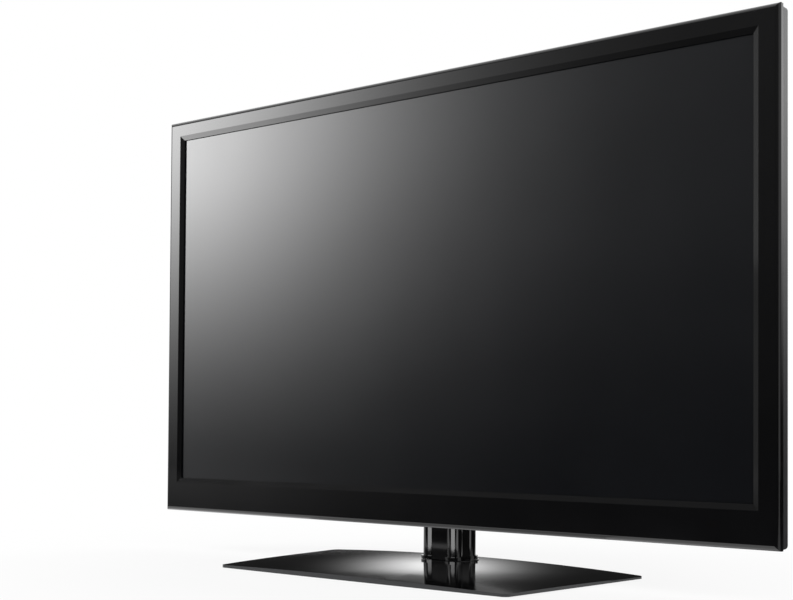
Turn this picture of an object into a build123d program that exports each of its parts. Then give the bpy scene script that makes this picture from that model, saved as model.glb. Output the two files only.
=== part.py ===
from build123d import *
import math
import os

os.makedirs("parts", exist_ok=True)

# A 42 inch edge-lit television on a swivel stand.
# All sizes are in millimetres. The floor is z = 0, and the middle of the base is x = 0, y = 0.
# The viewer looks along +Y with +X to the right, so the front of the set faces -Y.

# The set as a whole
set_width = 1000.0
set_height = 610.0
floor_gap = 60.0
front_y = 0.0
rim_depth = 28.0
bulge_depth = 36.0

# Clearances
fit_gap = 0.3
stack_gap = 0.1
running_gap = 0.05

# Front bezel
bezel_depth = 11.0
bezel_skin = 2.5
bezel_wall = 2.0
bezel_edge_radius = 6.0
border_side = 31.5
border_top = 30.0
border_bottom = 51.0
bevel_width = 7.0
bevel_drop = 3.2
lip_edge = 1.0
lip_land = 2.0
boss_radius = 3.9
pilot_radius = 1.3
ir_post_radius = 2.0
ir_post_gap = 4.5

# Picture module
module_margin = 12.0
module_sheet = 0.8
cell_thickness = 1.8
cell_overlap = 5.0
shelf_thickness = 0.8
optical_sheet_count = 3
optical_sheet_thickness = 0.35
guide_thickness = 3.0
guide_overlap = 2.0
reflector_thickness = 0.3
led_strip_thickness = 1.2
led_height = 5.0
led_reach = 0.8
led_depth = 2.4
led_count = 32
chassis_thickness = 1.0
rib_height = 2.0
rib_width = 10.0
rib_length = 130.0
rib_from_top = 80.0
rib_from_side = 70.0

# Back cover
cover_inset = 0.5
cover_wall = 2.0
cover_chamfer = 3.0
cover_corner_radius = 5.0
cover_tongue_depth = 1.5
cover_tongue_lap = 2.0
bulge_side = 85.0
bulge_top = 50.0
bulge_bottom = 31.0
bulge_slope_side = 30.0
bulge_slope_top = 38.0
bulge_slope_bottom = 13.0
bulge_corner_radius = 24.0
sill_height = 30.5
sill_reach = 16.6
sill_radius = 12.0
sill_end = 30.0
sill_gap = 2.5
vent_slot_width = 3.0
vent_slot_length = 20.0
vent_pitch = 14.0
vent_row_pitch = 26.0
vent_columns = 40
vent_rows = 2
vent_from_top = 102.0
speaker_slot_pitch = 12.0
speaker_slot_count = 14
speaker_slot_length = 12.0

# Cover screws
screw_line = 13.6
screw_radius = 1.5
screw_head_radius = 3.0
screw_head_height = 2.0
cover_post_radius = 4.1
cover_screw_length = 12.0
cover_screw_seat = 4.0
side_screw_from_bottom = 45.0
top_screw_inset = 46.0
top_screw_count = 5
side_screw_count = 4

# Wall mount and stand standoffs
vesa_spacing = 200.0
vesa_radius = 7.0
vesa_thread_radius = 2.5
vesa_thread_depth = 14.0
vesa_recess = 0.5
stand_spacing_x = 120.0
stand_spacing_z = 70.0
stand_bolts_rise = 95.0

# Circuit boards and their fixings
standoff_height = 4.0
standoff_radius = 4.0
standoff_bite = 1.0
board_thickness = 1.6
board_corner_inset = 6.0
board_screw_radius = 1.2
board_screw_head_radius = 2.8
board_screw_head_height = 1.6
board_rise = 112.0
main_board_width = 256.0
main_board_height = 200.0
main_board_x = -250.0
power_board_width = 260.0
power_board_height = 220.0
power_board_x = 245.0
timing_board_width = 170.0
timing_board_height = 60.0
timing_board_from_top = 140.0
source_board_width = 420.0
source_board_height = 16.0
source_board_thickness = 1.2
source_board_top = 8.0
source_board_gap = 20.0
ribbon_thickness = 0.3
ribbon_width = 28.0
ribbon_plug = 4.0
ribbon_inset = 10.0

# Socket bays in the back cover
bay_height = 60.0
bay_floor_thickness = 1.5
bay_wall = 2.0
bay_floor_gap = 0.8
main_bay_width = 262.0
inlet_bay_width = 60.0
inlet_x = 225.0

# Sockets along the main bay: offset from the middle of the bay, face width and face height
socket_length = 18.0
socket_wall = 0.8
socket_standout = 0.5
socket_tongue = 1.2
socket_tongue_recess = 3.0
hdmi_tongue_width = 10.0
usb_tongue_width = 10.0
usb_tongue_shift = 1.0
lan_keyway = (5.0, 1.0, 8.0)
vga_shell_angle = 80.0
vga_nut_reach = 12.5
vga_nut_radius = 2.4
vga_nut_length = 8.0
hdmi_offsets = (-27.0, -47.0, -67.0)
hdmi_face = (15.0, 6.0)
usb_offset = -86.0
usb_face = (14.0, 7.0)
lan_offset = -107.0
lan_face = (16.0, 13.5)
vga_offset = -1.0
vga_face = (31.0, 12.5)
vga_shell = (16.5, 8.5)
vga_standout = 6.0
phono_first_offset = 86.0
phono_pitch = 13.0
phono_count = 6
phono_body = (11.0, 12.0)
phono_radius = 4.1
phono_bore_radius = 1.7
phono_standout = 9.0
tuner_offset = 109.0
tuner_face = (16.0, 13.0)
tuner_length = 40.0
tuner_barrel_radius = 4.7
tuner_standout = 11.0
tuner_bore_radius = 0.7
tuner_bore_length = 8.0
inlet_face = (24.0, 13.5)
inlet_opening = (17.6, 9.4)
inlet_depth = 13.0
inlet_pin_radius = 1.2
inlet_pin_spacing = 8.6
inlet_pin_recess = 2.0

# What stands on the boards
connector_height = 2.5
chip_height = 1.4
chip_size = 32.0
chip_rise = 18.0
memory_chip = (12.0, 9.0)
memory_shift = 56.0
memory_pitch = 20.0
memory_count = 4
plug_depth = 6.0
plug_inset = 5.0
plug_length = 18.0
plug_pitch = 28.0
plug_count = 3
lvds_plug_inset = 28.0
speaker_plug_drop = 60.0
power_plug_length = 20.0
power_plug_pitch = 36.0
lamp_plug_pitch = 120.0
timing_chip_size = 24.0
timing_chip_drop = 6.0
heatsink_width = 60.0
heatsink_base = 2.0
heatsink_fin = 1.5
heatsink_fin_count = 9
part_height = 12.5
transformer_sizes = ((-60.0, -20.0, 38.0), (0.0, -24.0, 32.0), (52.0, -28.0, 26.0))
core_height_ratio = 0.45
winding_width_ratio = 0.62
winding_height_ratio = 0.9
winding_drop = 1.0
capacitor_radius = 6.0
capacitor_length = 30.0
capacitor_count = 4
capacitor_pitch = 14.0
capacitor_shift = 50.0
capacitor_rise = 40.0
power_fin_shifts = (-70.0, -10.0)
power_fin_rise = 48.0
power_fin_length = 66.0
power_fin_width = 16.0
power_fin_plate = 3.0
power_fin_thickness = 1.2
power_fin_pitch = 4.0
harness_radius = 1.5
harness_bend = 5.0
harness_end_gap = 1.0
harness_side_lane = 12.0
harness_lane_drop = 33.0
harness_lower_drop = 22.0
harness_sill_shift = 60.0
harness_link = 40.0
harness_link_drops = (60.0, 45.0)
harness_key_run = (3.0, 12.0)
harness_lamp_rises = (26.0, 60.0)
harness_lamp_inset = 20.0

# Loudspeakers
speaker_length = 210.0
speaker_gap = 1.0
speaker_wall = 1.5
driver_length = 70.0
driver_width = 17.0
driver_thickness = 3.0
driver_rim = 2.0
driver_shift = -0.5
driver_basket_height = 5.0
driver_basket_taper = 15.0
driver_magnet = (22.0, 9.0, 6.0)
driver_magnet_z = 8.0
speaker_front_gap = 5.5

# Push buttons on the back, near the edge at the viewer's right
button_names = [
    "power_button",
    "input_button",
    "menu_button",
    "ok_button",
    "volume_up_button",
    "volume_down_button",
    "channel_up_button",
    "channel_down_button",
]
button_from_side = 48.0
button_rise = 130.0
button_pitch = 20.0
button_width = 15.0
button_height = 9.0
button_standout = 1.3
button_flange = 1.5
button_flange_thickness = 1.4
button_stem_radius = 1.5
button_travel = 0.8
button_corner_radius = 2.3
button_edge_radius = 0.5
button_room = 1.8
button_stem_bite = 0.4
key_post_radius = 3.0
key_pin_radius = 1.2
key_post_inset = 4.0
key_board_overhang = 14.0
switch_size = 6.0
switch_height = 3.2
key_board_width = 24.0
key_board_thickness = 1.2

# Remote control window
ir_window_from_side = 80.0
ir_window_width = 12.0
ir_window_height = 5.0
ir_lip = 1.5
ir_lip_thickness = 1.2
ir_board_depth = 5.5
ir_board_size = (28.0, 12.0)
ir_sensor_size = (6.0, 5.0)

# Stand
neck_behind_front = 72.0
shoulder_width = 200.0
shoulder_height = 157.5
shoulder_drop = 0.5
shoulder_back = 51.0
shoulder_reach = 110.0
shoulder_apex_rise = 62.2
shoulder_apex_radius = 24.0
shoulder_foot_height = 12.5
shoulder_wall = 2.5
shoulder_edge_radius = 6.0
shoulder_screw_radius = 2.0
shoulder_screw_head_radius = 4.0
shoulder_screw_spacing_x = 60.0
shoulder_screw_spacing_z = 45.0
shoulder_screw_rise = 15.0
shoulder_screw_sink = 0.4
shoulder_post_wall = 1.5
shoulder_post_gap = 1.0
bracket_thickness = 3.0
bracket_width = 160.0
bracket_plate_height = 100.0
bracket_foot_width = 90.0
bracket_arm_spacing = 84.0
bracket_gap = 1.5
bracket_foot_rise = 6.5
bracket_reach_gap = 12.0
bracket_slope_rise = 2.0
bracket_bend_drop = 13.0
bracket_shelf = 3.0
stand_thread_gap = 2.0
core_flange_side = 6.0
core_flange_end = 5.0
stand_screw_radius = 2.5
stand_screw_head_radius = 4.5
stand_screw_head_height = 3.5
core_bolt_spacing_x = 50.0
core_bolt_spacing_y = 38.0
core_width = 44.0
core_depth = 30.0
core_wall = 3.0
pillar_radius = 10.6
pillar_spacing_x = 40.0
pillar_spacing_y = 31.2
pillar_groove = 3.0
collar_width = 3.0
collar_height = 4.5
neck_rise = 0.5

# Base
base_depth = 280.0
base_front_width = 466.0
base_back_width = 530.0
base_front_bow = 2.0
base_back_bow = 4.0
base_corner_radius = 9.0
base_lift = 0.6
base_height = 12.5
base_crown_y = 30.0
base_front_height = 6.2
base_back_height = 9.7
base_tip_height = 3.6
base_tip_front_height = 3.0
base_tip_back_height = 3.3
base_dome_margin = 10.0
base_skin = 2.0
base_plate_width = 370.0
base_plate_depth = 240.0
base_plate_thickness = 2.0
base_plate_corner = 12.0
base_boss_radius = 4.0
base_pilot_radius = 1.25
base_screw_radius = 1.2
base_screw_head_radius = 2.8
base_screw_head_height = 1.6
base_screw_hole_radius = 1.5
base_screw_length = 4.2
base_screw_spacing_x = 230.0
base_screw_spacing_y = 120.0
foot_spacing_x = 320.0
foot_spacing_y = 200.0
foot_thickness = 1.5
foot_radius = 9.0
swivel_seat_radius = 40.5
swivel_flange_radius = 44.0
swivel_flange_thickness = 3.0
swivel_washer_thickness = 0.6
swivel_washer_radius = 31.0
swivel_hole_radius = 28.5
swivel_angle = 20.0
pivot_radius = 5.0
pivot_head_radius = 9.0
pivot_head_height = 1.1
pivot_nut_flats = 17.0
pivot_nut_height = 8.0
spring_washer_thickness = 1.6
spring_washer_margin = 0.5
stud_standout = 2.0
stop_pin_radius = 3.0
stop_pin_circle = 35.0
stop_pin_recess = 0.5
stop_slack = 0.5


# Places worked out from the sizes above

set_mid_z = floor_gap + set_height / 2
set_top_z = floor_gap + set_height
stand_bolts_z = floor_gap + stand_bolts_rise
board_bottom_z = floor_gap + board_rise
timing_board_z = set_top_z - timing_board_from_top
button_x = set_width / 2 - button_from_side
button_low_z = floor_gap + button_rise
window_x = set_width / 2 - ir_window_from_side
rim_rear_y = front_y + rim_depth
bulge_rear_y = front_y + bulge_depth
bezel_rear_y = front_y + bezel_depth

window_width = set_width - 2 * border_side
window_height = set_height - border_top - border_bottom
window_z = floor_gap + border_bottom + window_height / 2
lip_rear_y = front_y + bevel_drop + lip_edge

module_width = window_width + 2 * module_margin
module_height = window_height + 2 * module_margin
module_front_y = lip_rear_y + 2 * stack_gap
cell_y = module_front_y + module_sheet + stack_gap
shelf_y = cell_y + cell_thickness + stack_gap
sheets_y = shelf_y + shelf_thickness + stack_gap
guide_y = sheets_y + optical_sheet_count * (optical_sheet_thickness + stack_gap)
reflector_y = guide_y + guide_thickness + stack_gap
chassis_y = reflector_y + reflector_thickness + stack_gap
chassis_rear_y = chassis_y + chassis_thickness

cell_width = window_width + 2 * cell_overlap
cell_height = window_height + 2 * cell_overlap
guide_width = window_width + 2 * guide_overlap
guide_height = window_height + 2 * guide_overlap
frame_width = module_width - 2 * (module_sheet + stack_gap)
frame_height = module_height - 2 * (module_sheet + stack_gap)
led_strip_x = guide_width / 2 + fit_gap + led_reach + led_strip_thickness / 2
strip_room = fit_gap + led_reach + led_strip_thickness + stack_gap
rib_x = frame_width / 2 - rib_from_side
rib_z = window_z + window_height / 2 - rib_from_top

cover_front_y = bezel_rear_y - cover_tongue_depth
cover_wall_y = bezel_rear_y + fit_gap
cover_inner_y = rim_rear_y - cover_wall
screw_head_y = cover_front_y + cover_screw_seat
cover_width = set_width - 2 * cover_inset
cover_height = set_height - 2 * cover_inset
cover_bottom_z = floor_gap + cover_inset
cover_tongue_width = set_width - 2 * (bezel_wall + fit_gap)
cover_tongue_height = set_height - 2 * (bezel_wall + fit_gap)
sill_top_z = cover_bottom_z + sill_height
sill_rear_y = rim_rear_y + sill_reach
sill_inner_x = shoulder_width / 2 + sill_gap
sill_outer_x = set_width / 2 - sill_end
sill_length = sill_outer_x - sill_inner_x
sill_x = (sill_outer_x + sill_inner_x) / 2

screw_column_x = set_width / 2 - screw_line
screw_row_z = set_top_z - screw_line
side_screw_low_z = floor_gap + side_screw_from_bottom
side_screw_step = (screw_row_z - side_screw_low_z) / side_screw_count
top_screw_step = 2 * (screw_column_x - top_screw_inset) / (top_screw_count - 1)
cover_screw_points = [
    (top_screw_step * (index - (top_screw_count - 1) / 2), screw_row_z)
    for index in range(top_screw_count)
]
for index in range(side_screw_count):
    for side in (-1, 1):
        cover_screw_points.append((side * screw_column_x, side_screw_low_z + index * side_screw_step))

vesa_points = [
    (side * vesa_spacing / 2, set_mid_z + level * vesa_spacing / 2)
    for side in (-1, 1)
    for level in (-1, 1)
]
stand_points = [
    (side * stand_spacing_x / 2, stand_bolts_z + level * stand_spacing_z / 2)
    for side in (-1, 1)
    for level in (-1, 1)
]

board_y = chassis_rear_y + standoff_height
board_rear_y = board_y + board_thickness
main_board_z = board_bottom_z + main_board_height / 2
main_board_left = main_board_x - main_board_width / 2
main_board_right = main_board_x + main_board_width / 2
main_board_top_z = board_bottom_z + main_board_height
power_board_z = board_bottom_z + power_board_height / 2
power_board_left = power_board_x - power_board_width / 2
power_board_right = power_board_x + power_board_width / 2
power_board_top_z = board_bottom_z + power_board_height
timing_board_left = -timing_board_width / 2
timing_board_top_z = timing_board_z + timing_board_height / 2
source_board_z = window_z + module_height / 2 - source_board_top - source_board_height / 2
source_board_x = source_board_width / 2 + source_board_gap

bay_floor_y = chassis_rear_y + bay_floor_gap + bay_floor_thickness
bay_top_z = board_bottom_z - 2 * bay_wall
bay_z = bay_top_z - bay_height / 2
socket_mouth_z = bay_top_z - socket_standout
inlet_plate_room = bulge_rear_y - cover_wall - bay_floor_y
inlet_plate_y = bay_floor_y + inlet_plate_room / 2
tongue_z = socket_mouth_z + (socket_length + socket_tongue_recess) / 2
ribbon_y = board_rear_y + connector_height
harness_y = chassis_rear_y + harness_radius + fit_gap

button_flange_y = cover_inner_y - fit_gap - button_flange_thickness
key_board_rear_y = button_flange_y - button_room - switch_height
key_board_y = key_board_rear_y - key_board_thickness
button_count = len(button_names)
key_board_z = button_low_z + (button_count - 1) * button_pitch / 2
key_board_height = button_count * button_pitch + key_board_overhang
key_post_reach = key_board_height / 2 - key_post_inset
key_post_points = [(button_x, key_board_z - key_post_reach), (button_x, key_board_z + key_post_reach)]

ir_z = floor_gap + border_bottom / 2
ir_board_y = front_y + bezel_skin + ir_board_depth

neck_y = front_y + neck_behind_front
shoulder_bottom_z = floor_gap - shoulder_drop
shoulder_top_z = shoulder_bottom_z + shoulder_height
shoulder_apex_z = shoulder_bottom_z + shoulder_apex_rise
shoulder_slope_foot_z = shoulder_bottom_z + shoulder_foot_height
shoulder_back_y = front_y + shoulder_back
shoulder_reach_y = front_y + shoulder_reach
bracket_y = bulge_rear_y + bracket_gap
bracket_rear_y = bracket_y + bracket_thickness
bracket_foot_z = shoulder_bottom_z + bracket_foot_rise
bracket_reach_y = shoulder_reach_y - bracket_reach_gap
shoulder_screw_z = stand_bolts_z + shoulder_screw_rise
core_flange_z = bracket_foot_z - bracket_thickness

plate_z = foot_thickness
plate_top_z = plate_z + base_plate_thickness
swivel_flange_z = plate_top_z + swivel_washer_thickness + 2 * stack_gap
swivel_flange_top_z = swivel_flange_z + swivel_flange_thickness
seat_top_z = base_height + stack_gap
column_foot_z = seat_top_z + neck_rise
column_top_z = shoulder_bottom_z + shoulder_wall


def facing(y):
    """Upright plane at depth y, with local x to the right and local y up."""
    return Plane.XZ.offset(-y)


def corner_points(mid_x, mid_z, width, height, inset):
    """The four fixing points of a board, drawn in from its corners."""
    return [
        (mid_x + side * (width / 2 - inset), mid_z + level * (height / 2 - inset))
        for side in (-1, 1)
        for level in (-1, 1)
    ]


def column_outline():
    """Plan of the neck: four round pillars with sunken panels between them."""
    with BuildSketch() as outline:
        with GridLocations(pillar_spacing_x, pillar_spacing_y, 2, 2):
            Circle(pillar_radius)
        Rectangle(pillar_spacing_x + 2 * (pillar_radius - pillar_groove), pillar_spacing_y)
        Rectangle(pillar_spacing_x, pillar_spacing_y + 2 * (pillar_radius - pillar_groove))
    return outline.sketch


def finish(piece, name):
    """Label a finished piece and write it to its own file."""
    piece.part.label = name
    export_step(piece.part, f"parts/{name}.step")


# Front bezel: a shallow moulded tray with a bevelled window

with BuildPart() as bezel_hollow:
    with BuildSketch(facing(front_y + bezel_skin)):
        with Locations((0, set_mid_z)):
            Rectangle(set_width - 2 * bezel_wall, set_height - 2 * bezel_wall)
    extrude(amount=-(bezel_depth - bezel_skin))
    fillet(bezel_hollow.faces().sort_by(Axis.Y)[0].edges(), bezel_edge_radius - bezel_skin)

with BuildPart() as front_bezel:
    with BuildSketch(facing(front_y)):
        with Locations((0, set_mid_z)):
            Rectangle(set_width, set_height)
    extrude(amount=-bezel_depth)
    fillet(front_bezel.faces().sort_by(Axis.Y)[0].edges(), bezel_edge_radius)
    add(bezel_hollow.part, mode=Mode.SUBTRACT)
    with BuildSketch(facing(front_y + bezel_skin)):
        with Locations((0, window_z)):
            Rectangle(
                window_width + 2 * (bevel_width + lip_land),
                window_height + 2 * (bevel_width + lip_land),
            )
    extrude(amount=-(lip_rear_y - front_y - bezel_skin))
    with BuildSketch(facing(front_y + bezel_skin)):
        with Locations(*cover_screw_points):
            Circle(boss_radius)
            Circle(pilot_radius, mode=Mode.SUBTRACT)
    extrude(amount=-(cover_front_y - stack_gap - front_y - bezel_skin))
    with BuildSketch(facing(front_y)):
        with Locations((0, window_z)):
            Rectangle(window_width + 2 * bevel_width, window_height + 2 * bevel_width)
    with BuildSketch(facing(front_y + bevel_drop)):
        with Locations((0, window_z)):
            Rectangle(window_width, window_height)
    loft(mode=Mode.SUBTRACT)
    with BuildSketch(facing(front_y + bevel_drop)):
        with Locations((0, window_z)):
            Rectangle(window_width, window_height)
    extrude(amount=-lip_edge, mode=Mode.SUBTRACT)
    with BuildSketch(facing(front_y)):
        with Locations((window_x, ir_z)):
            Rectangle(ir_window_width + 2 * fit_gap, ir_window_height + 2 * fit_gap)
    extrude(amount=-bezel_skin, mode=Mode.SUBTRACT)
    # Posts that carry the remote control board
    with BuildSketch(facing(front_y + bezel_skin)):
        for side in (-1, 1):
            with Locations((window_x + side * (ir_window_width / 2 + ir_post_gap), ir_z)):
                Circle(ir_post_radius)
    extrude(amount=-(ir_board_y - front_y - bezel_skin))

finish(front_bezel, "front_bezel")


# Picture module, from the front backwards

with BuildPart() as module_front_frame:
    with BuildSketch(facing(module_front_y)):
        with Locations((0, window_z)):
            Rectangle(module_width, module_height)
            Rectangle(guide_width, guide_height, mode=Mode.SUBTRACT)
    extrude(amount=-module_sheet)
    with BuildSketch(facing(module_front_y)):
        with Locations((0, window_z)):
            Rectangle(module_width, module_height)
            Rectangle(module_width - 2 * module_sheet, module_height - 2 * module_sheet, mode=Mode.SUBTRACT)
    extrude(amount=-(chassis_rear_y - module_front_y))

finish(module_front_frame, "module_front_frame")

with BuildPart() as lcd_cell:
    with BuildSketch(facing(cell_y)):
        with Locations((0, window_z)):
            Rectangle(cell_width, cell_height)
    extrude(amount=-cell_thickness)

finish(lcd_cell, "lcd_cell")

# Moulded middle frame: a wall round the cell, a shelf under it and a wall round the light guide
with BuildPart() as module_mid_frame:
    with BuildSketch(facing(cell_y)):
        with Locations((0, window_z)):
            Rectangle(frame_width, frame_height)
            Rectangle(cell_width + 2 * fit_gap, cell_height + 2 * fit_gap, mode=Mode.SUBTRACT)
    extrude(amount=-(shelf_y - cell_y))
    with BuildSketch(facing(shelf_y)):
        with Locations((0, window_z)):
            Rectangle(frame_width, frame_height)
            Rectangle(guide_width, guide_height, mode=Mode.SUBTRACT)
    extrude(amount=-shelf_thickness)
    with BuildSketch(facing(shelf_y + shelf_thickness)):
        with Locations((0, window_z)):
            Rectangle(frame_width, frame_height)
            Rectangle(guide_width + 2 * strip_room, guide_height + 2 * fit_gap, mode=Mode.SUBTRACT)
    extrude(amount=-(chassis_y - stack_gap - shelf_y - shelf_thickness))

finish(module_mid_frame, "module_mid_frame")

with BuildPart() as optical_sheets:
    for index in range(optical_sheet_count):
        with BuildSketch(facing(sheets_y + index * (optical_sheet_thickness + stack_gap))):
            with Locations((0, window_z)):
                Rectangle(guide_width, guide_height)
        extrude(amount=-optical_sheet_thickness)

finish(optical_sheets, "optical_sheets")

with BuildPart() as light_guide_plate:
    with BuildSketch(facing(guide_y)):
        with Locations((0, window_z)):
            Rectangle(guide_width, guide_height)
    extrude(amount=-guide_thickness)

finish(light_guide_plate, "light_guide_plate")

with BuildPart() as reflector_sheet:
    with BuildSketch(facing(reflector_y)):
        with Locations((0, window_z)):
            Rectangle(guide_width, guide_height)
    extrude(amount=-reflector_thickness)

finish(reflector_sheet, "reflector_sheet")

# Two upright strips of LEDs that shine into the ends of the light guide
with BuildPart() as led_bars:
    led_pitch = guide_height / led_count
    for side in (-1, 1):
        with Locations((side * led_strip_x, guide_y + guide_thickness / 2, window_z)):
            Box(led_strip_thickness, guide_thickness, guide_height)
        led_x = side * (led_strip_x - led_strip_thickness / 2 - led_reach / 2)
        for index in range(led_count):
            led_z = window_z + (index - (led_count - 1) / 2) * led_pitch
            with Locations((led_x, guide_y + guide_thickness / 2, led_z)):
                Box(led_reach, led_depth, led_height)

finish(led_bars, "led_bars")

main_board_points = corner_points(
    main_board_x, main_board_z, main_board_width, main_board_height, board_corner_inset
)
power_board_points = corner_points(
    power_board_x, power_board_z, power_board_width, power_board_height, board_corner_inset
)
timing_board_points = corner_points(
    0, timing_board_z, timing_board_width, timing_board_height, board_corner_inset
)
board_points = main_board_points + power_board_points + timing_board_points

# Steel chassis with pressed ribs and the standoffs that carry the boards
with BuildPart() as back_chassis:
    with BuildSketch(facing(chassis_y)):
        with Locations((0, window_z)):
            Rectangle(frame_width, frame_height)
    extrude(amount=-chassis_thickness)
    with BuildSketch(facing(chassis_rear_y)):
        with Locations(*board_points):
            Circle(standoff_radius)
    extrude(amount=-standoff_height)
    with BuildSketch(facing(board_y)):
        with Locations(*board_points):
            Circle(board_screw_radius + running_gap)
    extrude(amount=standoff_height - stack_gap, mode=Mode.SUBTRACT)
    with BuildSketch(facing(chassis_rear_y)):
        for side in (-1, 1):
            with Locations((side * rib_x, rib_z)):
                SlotOverall(rib_length, rib_width, rotation=90)
    extrude(amount=-rib_height)

finish(back_chassis, "back_chassis")

# Threaded steel standoffs: four for a wall mount and four for the stand bracket
with BuildPart() as rear_standoffs:
    with BuildSketch(facing(chassis_rear_y)):
        with Locations(*vesa_points):
            Circle(vesa_radius)
    extrude(amount=-(bulge_rear_y - vesa_recess - chassis_rear_y))
    with BuildSketch(facing(bulge_rear_y - vesa_recess)):
        with Locations(*vesa_points):
            Circle(vesa_thread_radius)
    extrude(amount=vesa_thread_depth, mode=Mode.SUBTRACT)
    with BuildSketch(facing(chassis_rear_y)):
        with Locations(*stand_points):
            Circle(vesa_radius)
    extrude(amount=-(bracket_y - chassis_rear_y))
    with BuildSketch(facing(bracket_y)):
        with Locations(*stand_points):
            Circle(stand_screw_radius + running_gap)
    extrude(amount=vesa_thread_depth, mode=Mode.SUBTRACT)

finish(rear_standoffs, "rear_standoffs")


# Back cover

def cover_form(inset, chamfer_size, start_y):
    """Outer form of the back cover, drawn in by the inset on every face but the front."""
    bulge_low_z = floor_gap + bulge_bottom + inset
    bulge_high_z = set_top_z - bulge_top - inset
    bulge_width = set_width - 2 * (bulge_side + inset)
    top_low_z = bulge_low_z + bulge_slope_bottom
    top_high_z = bulge_high_z - bulge_slope_top
    with BuildPart() as form:
        with BuildSketch(facing(start_y)):
            with Locations((0, set_mid_z)):
                Rectangle(cover_width - 2 * inset, cover_height - 2 * inset)
        extrude(amount=-(rim_rear_y - inset - start_y))
        fillet(form.edges().filter_by(Axis.Y), cover_corner_radius - inset)
        chamfer(form.faces().sort_by(Axis.Y)[-1].edges(), chamfer_size)
        with BuildSketch(facing(rim_rear_y - inset)):
            with Locations((0, (bulge_low_z + bulge_high_z) / 2)):
                RectangleRounded(bulge_width, bulge_high_z - bulge_low_z, bulge_corner_radius)
        with BuildSketch(facing(bulge_rear_y - inset)):
            with Locations((0, (top_low_z + top_high_z) / 2)):
                RectangleRounded(
                    bulge_width - 2 * bulge_slope_side,
                    top_high_z - top_low_z,
                    bulge_corner_radius / 2,
                )
        loft()
        for side in (-1, 1):
            with BuildSketch(Plane.YZ.offset(side * sill_x - sill_length / 2 + inset)):
                with BuildLine():
                    foot = (cover_inner_y - chamfer_size, cover_bottom_z + inset)
                    heel = (sill_rear_y - inset, cover_bottom_z + inset)
                    shin = (sill_rear_y - inset, sill_top_z - sill_radius)
                    crown = (sill_rear_y - sill_radius, sill_top_z - inset)
                    back = (cover_inner_y - chamfer_size, sill_top_z - inset)
                    Polyline(crown, back, foot, heel, shin)
                    RadiusArc(shin, crown, inset - sill_radius)
                make_face()
            extrude(amount=sill_length - 2 * inset)
    return form.part


inner_chamfer = cover_chamfer - cover_wall * (2 - math.sqrt(2))
outer_form = cover_form(0, cover_chamfer, cover_wall_y)
inner_form = cover_form(cover_wall, inner_chamfer, cover_front_y)

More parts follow.
